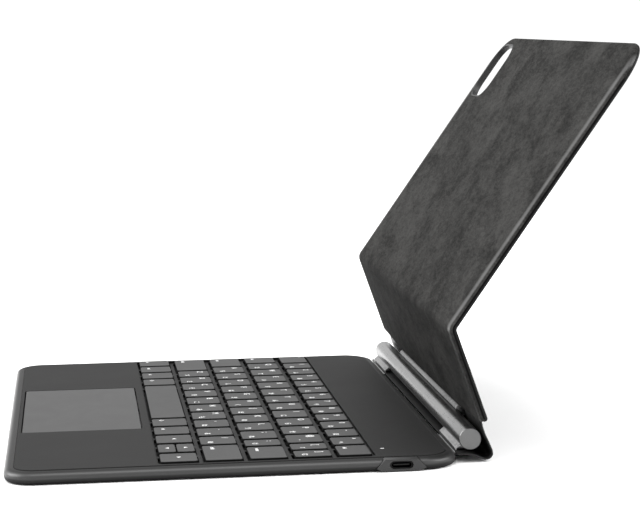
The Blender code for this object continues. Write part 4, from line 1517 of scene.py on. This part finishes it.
# ------------------------------------------------------------------------------ lid
@dataclass
class Lid(Assembly):
    """Two stiff panels in one wrapped skin, with a soft crease between them."""

    title = "lid"
    foot: float = 8.0
    foot_r: float = 2.0
    seam: float = -0.35
    corner_steps: int = 16
    trim_edge: float = 0.22
    trim_lip: float = 0.25

    def stand(self, x: float, along: float, out: float) -> Vector:
        """Point of the standing lid from its unrolled place.

        Args:
            x: Across the case.
            along: Distance from the barrel axis along the lid.
            out: Height above the middle of the thickness, towards the user.

        Returns:
            The point.
        """
        s = self.sizes
        reach = along - s.crease_s
        if abs(reach) >= s.fold_half:
            panel = s.lower if reach < 0 else s.upper
            point = s.crease + panel * reach + across(panel) * out
        else:
            bend = s.lower_angle - s.upper_angle
            radius = s.fold_half / math.tan(math.radians(bend) / 2)
            centre = s.crease - s.lower * s.fold_half - across(s.lower) * radius
            share = (reach + s.fold_half) / (2 * s.fold_half)
            point = centre + across(heading(s.lower_angle - bend * share)) * (radius + out)
        return Vector((x, point.y, point.z))

    def lines(self) -> list[float]:
        """Distances along the lid where the side edges get a point.

        Returns:
            The distances, from the foot to the free edge.
        """
        s = self.sizes
        fold = [s.crease_s + s.fold_half * (k / 6 - 1) for k in range(13)]
        lower = [self.foot + self.foot_r + 0.1 + 5.7 * k for k in range(6)]
        first, last = s.crease_s + s.fold_half + 2, s.top_s - s.lid_corner_r - 1
        upper = [first + (last - first) * k / 16 for k in range(17)]
        return lower + fold + upper

    def side_points(self, inset: float, tab: float | None = None) -> Profile:
        """Right half of the lid's outline, from the foot's middle to the top's middle.

        Args:
            inset: Distance by which the outline shrinks.
            tab: Where the middle of the foot reaches down to, if further than its corners.

        Returns:
            (x, along) pairs.
        """
        s = self.sizes
        half = s.lid_w / 2 - inset
        low = inset if tab is None else min(inset, 0.3)
        foot, head = (max(radius - inset, 0.05) for radius in (self.foot_r, s.lid_corner_r))
        points = [] if tab is None else [(s.knuckle_in, tab + low)]
        points += [(half - foot + foot * a, self.foot + low + foot + foot * b) for a, b in arc(-90, 90, 6)]
        points += [(half, along) for along in self.lines()]
        top = s.top_s - inset - head
        return points + [(half - head + head * a, top + head * b) for a, b in arc(0, 90, self.corner_steps)]

    def wrap(self, profile: Profile, tab: float | None = None) -> Form:
        """Skin a closed sheet that follows the lid.

        Args:
            profile: (inset, out) pairs from the back face to the front face.
            tab: See side_points.

        Returns:
            The form.
        """
        rings = []
        for inset, out in profile:
            right = self.side_points(inset, tab)
            left = [(-x, along) for x, along in reversed(right)]
            rings.append([self.stand(x, along, out) for x, along in right + left])
        form = Form().skin(rings, closed=False)
        count = len(rings[0])
        verts = list(form.bm.verts)
        for ring in (verts[:count], verts[-count:]):
            for k in range(count // 2 - 1):
                form.bm.faces.new((ring[k], ring[k + 1], ring[count - 2 - k], ring[count - 1 - k]))
        return form

    def unrolled(self, point: Vector) -> Vector:
        """Place of a point on the lid when it is laid out flat, for the skin's pattern.

        Args:
            point: A point of the standing lid.

        Returns:
            (across, along, out) from the crease.
        """
        s = self.sizes
        rel = Vector((0, point.y, point.z)) - s.crease
        panel = s.lower if rel.dot(s.lower + s.upper) < 0 else s.upper
        return Vector((point.x, rel.dot(panel), rel.dot(across(panel))))

    def camera_form(self, profile: Profile, closed: bool = True) -> Form:
        """Rounded square prism through the upper panel, standing in the lid.

        Args:
            profile: (inset, out) pairs; a negative inset grows the opening.
            closed: True to cap both ends.

        Returns:
            The form.
        """
        s = self.sizes
        mid_x, mid_s = s.cam_from_side - s.lid_w / 2, s.top_s - s.cam_from_top
        half, radius = s.cam_half, s.cam_corner_r
        rings = []
        for inset, out in profile:
            outline = rounded_rect(half, mid_s - half, mid_s + half, radius, radius, inset, 12, mid_x)
            rings.append([self.stand(x, along, out) for x, along in outline])
        return Form().skin(rings, closed)

    def build(self) -> list[bpy.types.Object]:
        """Make the cover, the lining and the trim of the camera opening.

        Returns:
            The pieces.
        """
        s, seam = self.sizes, self.seam
        half_t = s.lid_t / 2
        back = quarter(1.0, -half_t, 0.0, -half_t + 0.95, 6, out_first=False)
        cover = self.wrap(back + [(0.12, seam), (1.6, seam + 0.02)]).object("lid_cover")
        rolled = [(1.4, seam + 0.06), (0.22, seam + 0.06), (0.08, seam + 0.2), (0.05, seam + 0.42), (0.12, 0.24),
                  (0.28, 0.45), (0.52, 0.68), (0.82, 0.88), (1.2, 1.05), (1.7, 1.19), (2.4, 1.3),
                  (3.3, half_t - 0.08), (4.6, half_t - 0.02), (6.0, half_t), (8.0, half_t)]
        lining = self.wrap(rolled, tab=s.lining_foot).object("lid_lining")
        for piece in (cover, lining):
            combine(piece, self.camera_form([(-s.cam_wall, -half_t - 2), (-s.cam_wall, half_t + 2)]))
        dress(cover, COVER, place_of=self.unrolled)
        dress(lining, LINING, place_of=self.unrolled, smooth=40)
        bodies = ("lower_panel", "upper_panel")
        start, end = s.crease - s.lower * s.fold_half, s.crease + s.upper * s.fold_half
        self.bridge(cover, bodies, start, end, "skin", "lower_board", "upper_board", "fold_strip")
        self.bridge(lining, bodies, start, end, "lining", "lower_lining", "upper_lining")
        return [cover, lining, self.trim()]

    def trim(self) -> bpy.types.Object:
        """Make the thin frame that lines the camera opening.

        Returns:
            The piece.
        """
        s = self.sizes
        half_t, wall, edge = s.lid_t / 2, s.cam_wall, self.trim_edge
        rim = -wall - self.trim_lip
        outline = [(rim, half_t + 0.02), (rim + edge, half_t + 0.12), (-edge, half_t + 0.12), (0.0, half_t - edge),
                   (0.0, -half_t + edge), (-edge, -half_t - 0.05), (rim + edge, -half_t - 0.05),
                   (rim, -half_t + 0.06), (-wall, -half_t + 0.12), (-wall, half_t - 0.1)]
        form = self.camera_form(outline + outline[:1], closed=False)
        bmesh.ops.remove_doubles(form.bm, verts=form.bm.verts, dist=0.0001)
        trim = dress(form.object("camera_frame"), TRIM)
        return self.seat(trim, "upper_panel", "skin", "camera_trim")


# ------------------------------------------------------------------------------ carried solids
@dataclass
class InnerParts(Assembly):
    """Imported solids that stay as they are, with better materials."""

    title = "inner parts"
    finishes: dict[str, Finish] = field(default_factory=lambda: {
        "ballast_plate": STEEL_CARRIED, "hinge_pin_left": STEEL_CARRIED, "hinge_pin_right": STEEL_CARRIED,
        "magnet_carrier": STEEL_CARRIED, "main_board": BOARD_CARRIED, "trackpad_switch": BLACK_CARRIED,
    })

    def build(self) -> list[bpy.types.Object]:
        """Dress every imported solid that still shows.

        Returns:
            The solids that were dressed.
        """
        dressed = []
        for name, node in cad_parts.items():
            if not node.hide_render:
                for slot in node.material_slots:
                    slot.material = self.finishes.get(name, BLACK_CARRIED).material()
                dressed.append(node)
        return dressed


# ------------------------------------------------------------------------------ studio
@dataclass
class Studio:
    """Pale floor, soft light and the camera at the photograph's angle."""

    camera_at: Vector = field(default_factory=lambda: Vector((0.8738, -0.0985, 0.1780)))
    forward: Vector = field(default_factory=lambda: Vector((-0.98433, 0.12474, -0.12468)))
    right: Vector = field(default_factory=lambda: Vector((0.12704, 0.99184, -0.01069)))
    lens: float = 110.77
    floor_half: float = 60.0
    surroundings: float = 1.12

    def camera(self) -> None:
        """Place the camera."""
        data = bpy.data.cameras.new("camera")
        data.lens, data.sensor_width = self.lens, 36.0
        data.clip_start, data.clip_end = 0.01, 100.0
        camera = placed(bpy.data.objects.new("camera", data))
        back = -self.forward.normalized()
        up = back.cross(self.right).normalized()
        matrix = Matrix((up.cross(back), up, back)).transposed().to_4x4()
        matrix.translation = self.camera_at
        camera.matrix_world = matrix
        bpy.context.scene.camera = camera

    def floor(self) -> None:
        """Lay the pale floor."""
        mesh = bpy.data.meshes.new("floor")
        size = self.floor_half
        mesh.from_pydata([(-size, -size, 0), (size, -size, 0), (size, size, 0), (-size, size, 0)], [], [range(4)])
        floor = placed(bpy.data.objects.new("floor", mesh))
        floor.location.z = -0.0002
        graph = Graph("floor_paper")
        fibre = graph.noise(graph.place(carried=True), 0.02, 2.0)
        paper = graph.tint(fibre.above(0.2, 0.8), shade(251), shade(254))
        graph.surface(Base_Color=paper, Roughness=1.0, Specular_IOR_Level=0.0)
        mesh.materials.append(graph.material)

    def lamp(self, name: str, at: Vector, aim: Vector, size: float, radiance: float) -> None:
        """Hang one soft box.

        Args:
            name: Name of the light.
            at: Where it hangs, in metres.
            aim: Point that it faces.
            size: Side of the box in metres.
            radiance: Brightness of its face; 1 is as bright as the white surroundings.
        """
        data = bpy.data.lights.new(name, "AREA")
        data.shape, data.size, data.energy = "SQUARE", size, radiance * math.pi * size * size
        lamp = placed(bpy.data.objects.new(name, data))
        lamp.location, lamp.rotation_mode = at, "QUATERNION"
        lamp.rotation_quaternion = (aim - at).to_track_quat("-Z", "Y")

    def light(self) -> None:
        """Set the surroundings and the soft boxes."""
        world = bpy.data.worlds.new("studio")
        world.use_nodes = True
        background = world.node_tree.nodes["Background"]
        background.inputs["Color"].default_value = (1, 1, 1, 1)
        background.inputs["Strength"].default_value = self.surroundings
        bpy.context.scene.world = world
        middle = Vector((0.05, 0.0, 0.08))
        self.lamp("front_box", middle + Vector((-0.2, -0.82, 0.53)) * 1.6, middle, 1.15, 6.0)
        self.lamp("top_box", middle + Vector((0.1, 0.0, 1.4)), middle, 0.7, 5.0)
        self.lamp("rear_box", middle + Vector((0.3, 1.2, 0.9)), middle, 1.0, 5.0)
        bpy.context.scene.view_settings.view_transform = "Standard"

    def build(self) -> None:
        """Set up the whole studio."""
        self.camera()
        self.floor()
        self.light()


def main() -> None:
    """Build every group in order, then the studio."""
    logging.basicConfig(level=logging.INFO, format="%(message)s")
    for group in (BaseShell(), Deck(), Keyboard(), BarrelHinge(), Spine(), Lid(), InnerParts()):
        group.report()
    Studio().build()


if __name__ == "__main__":
    main()
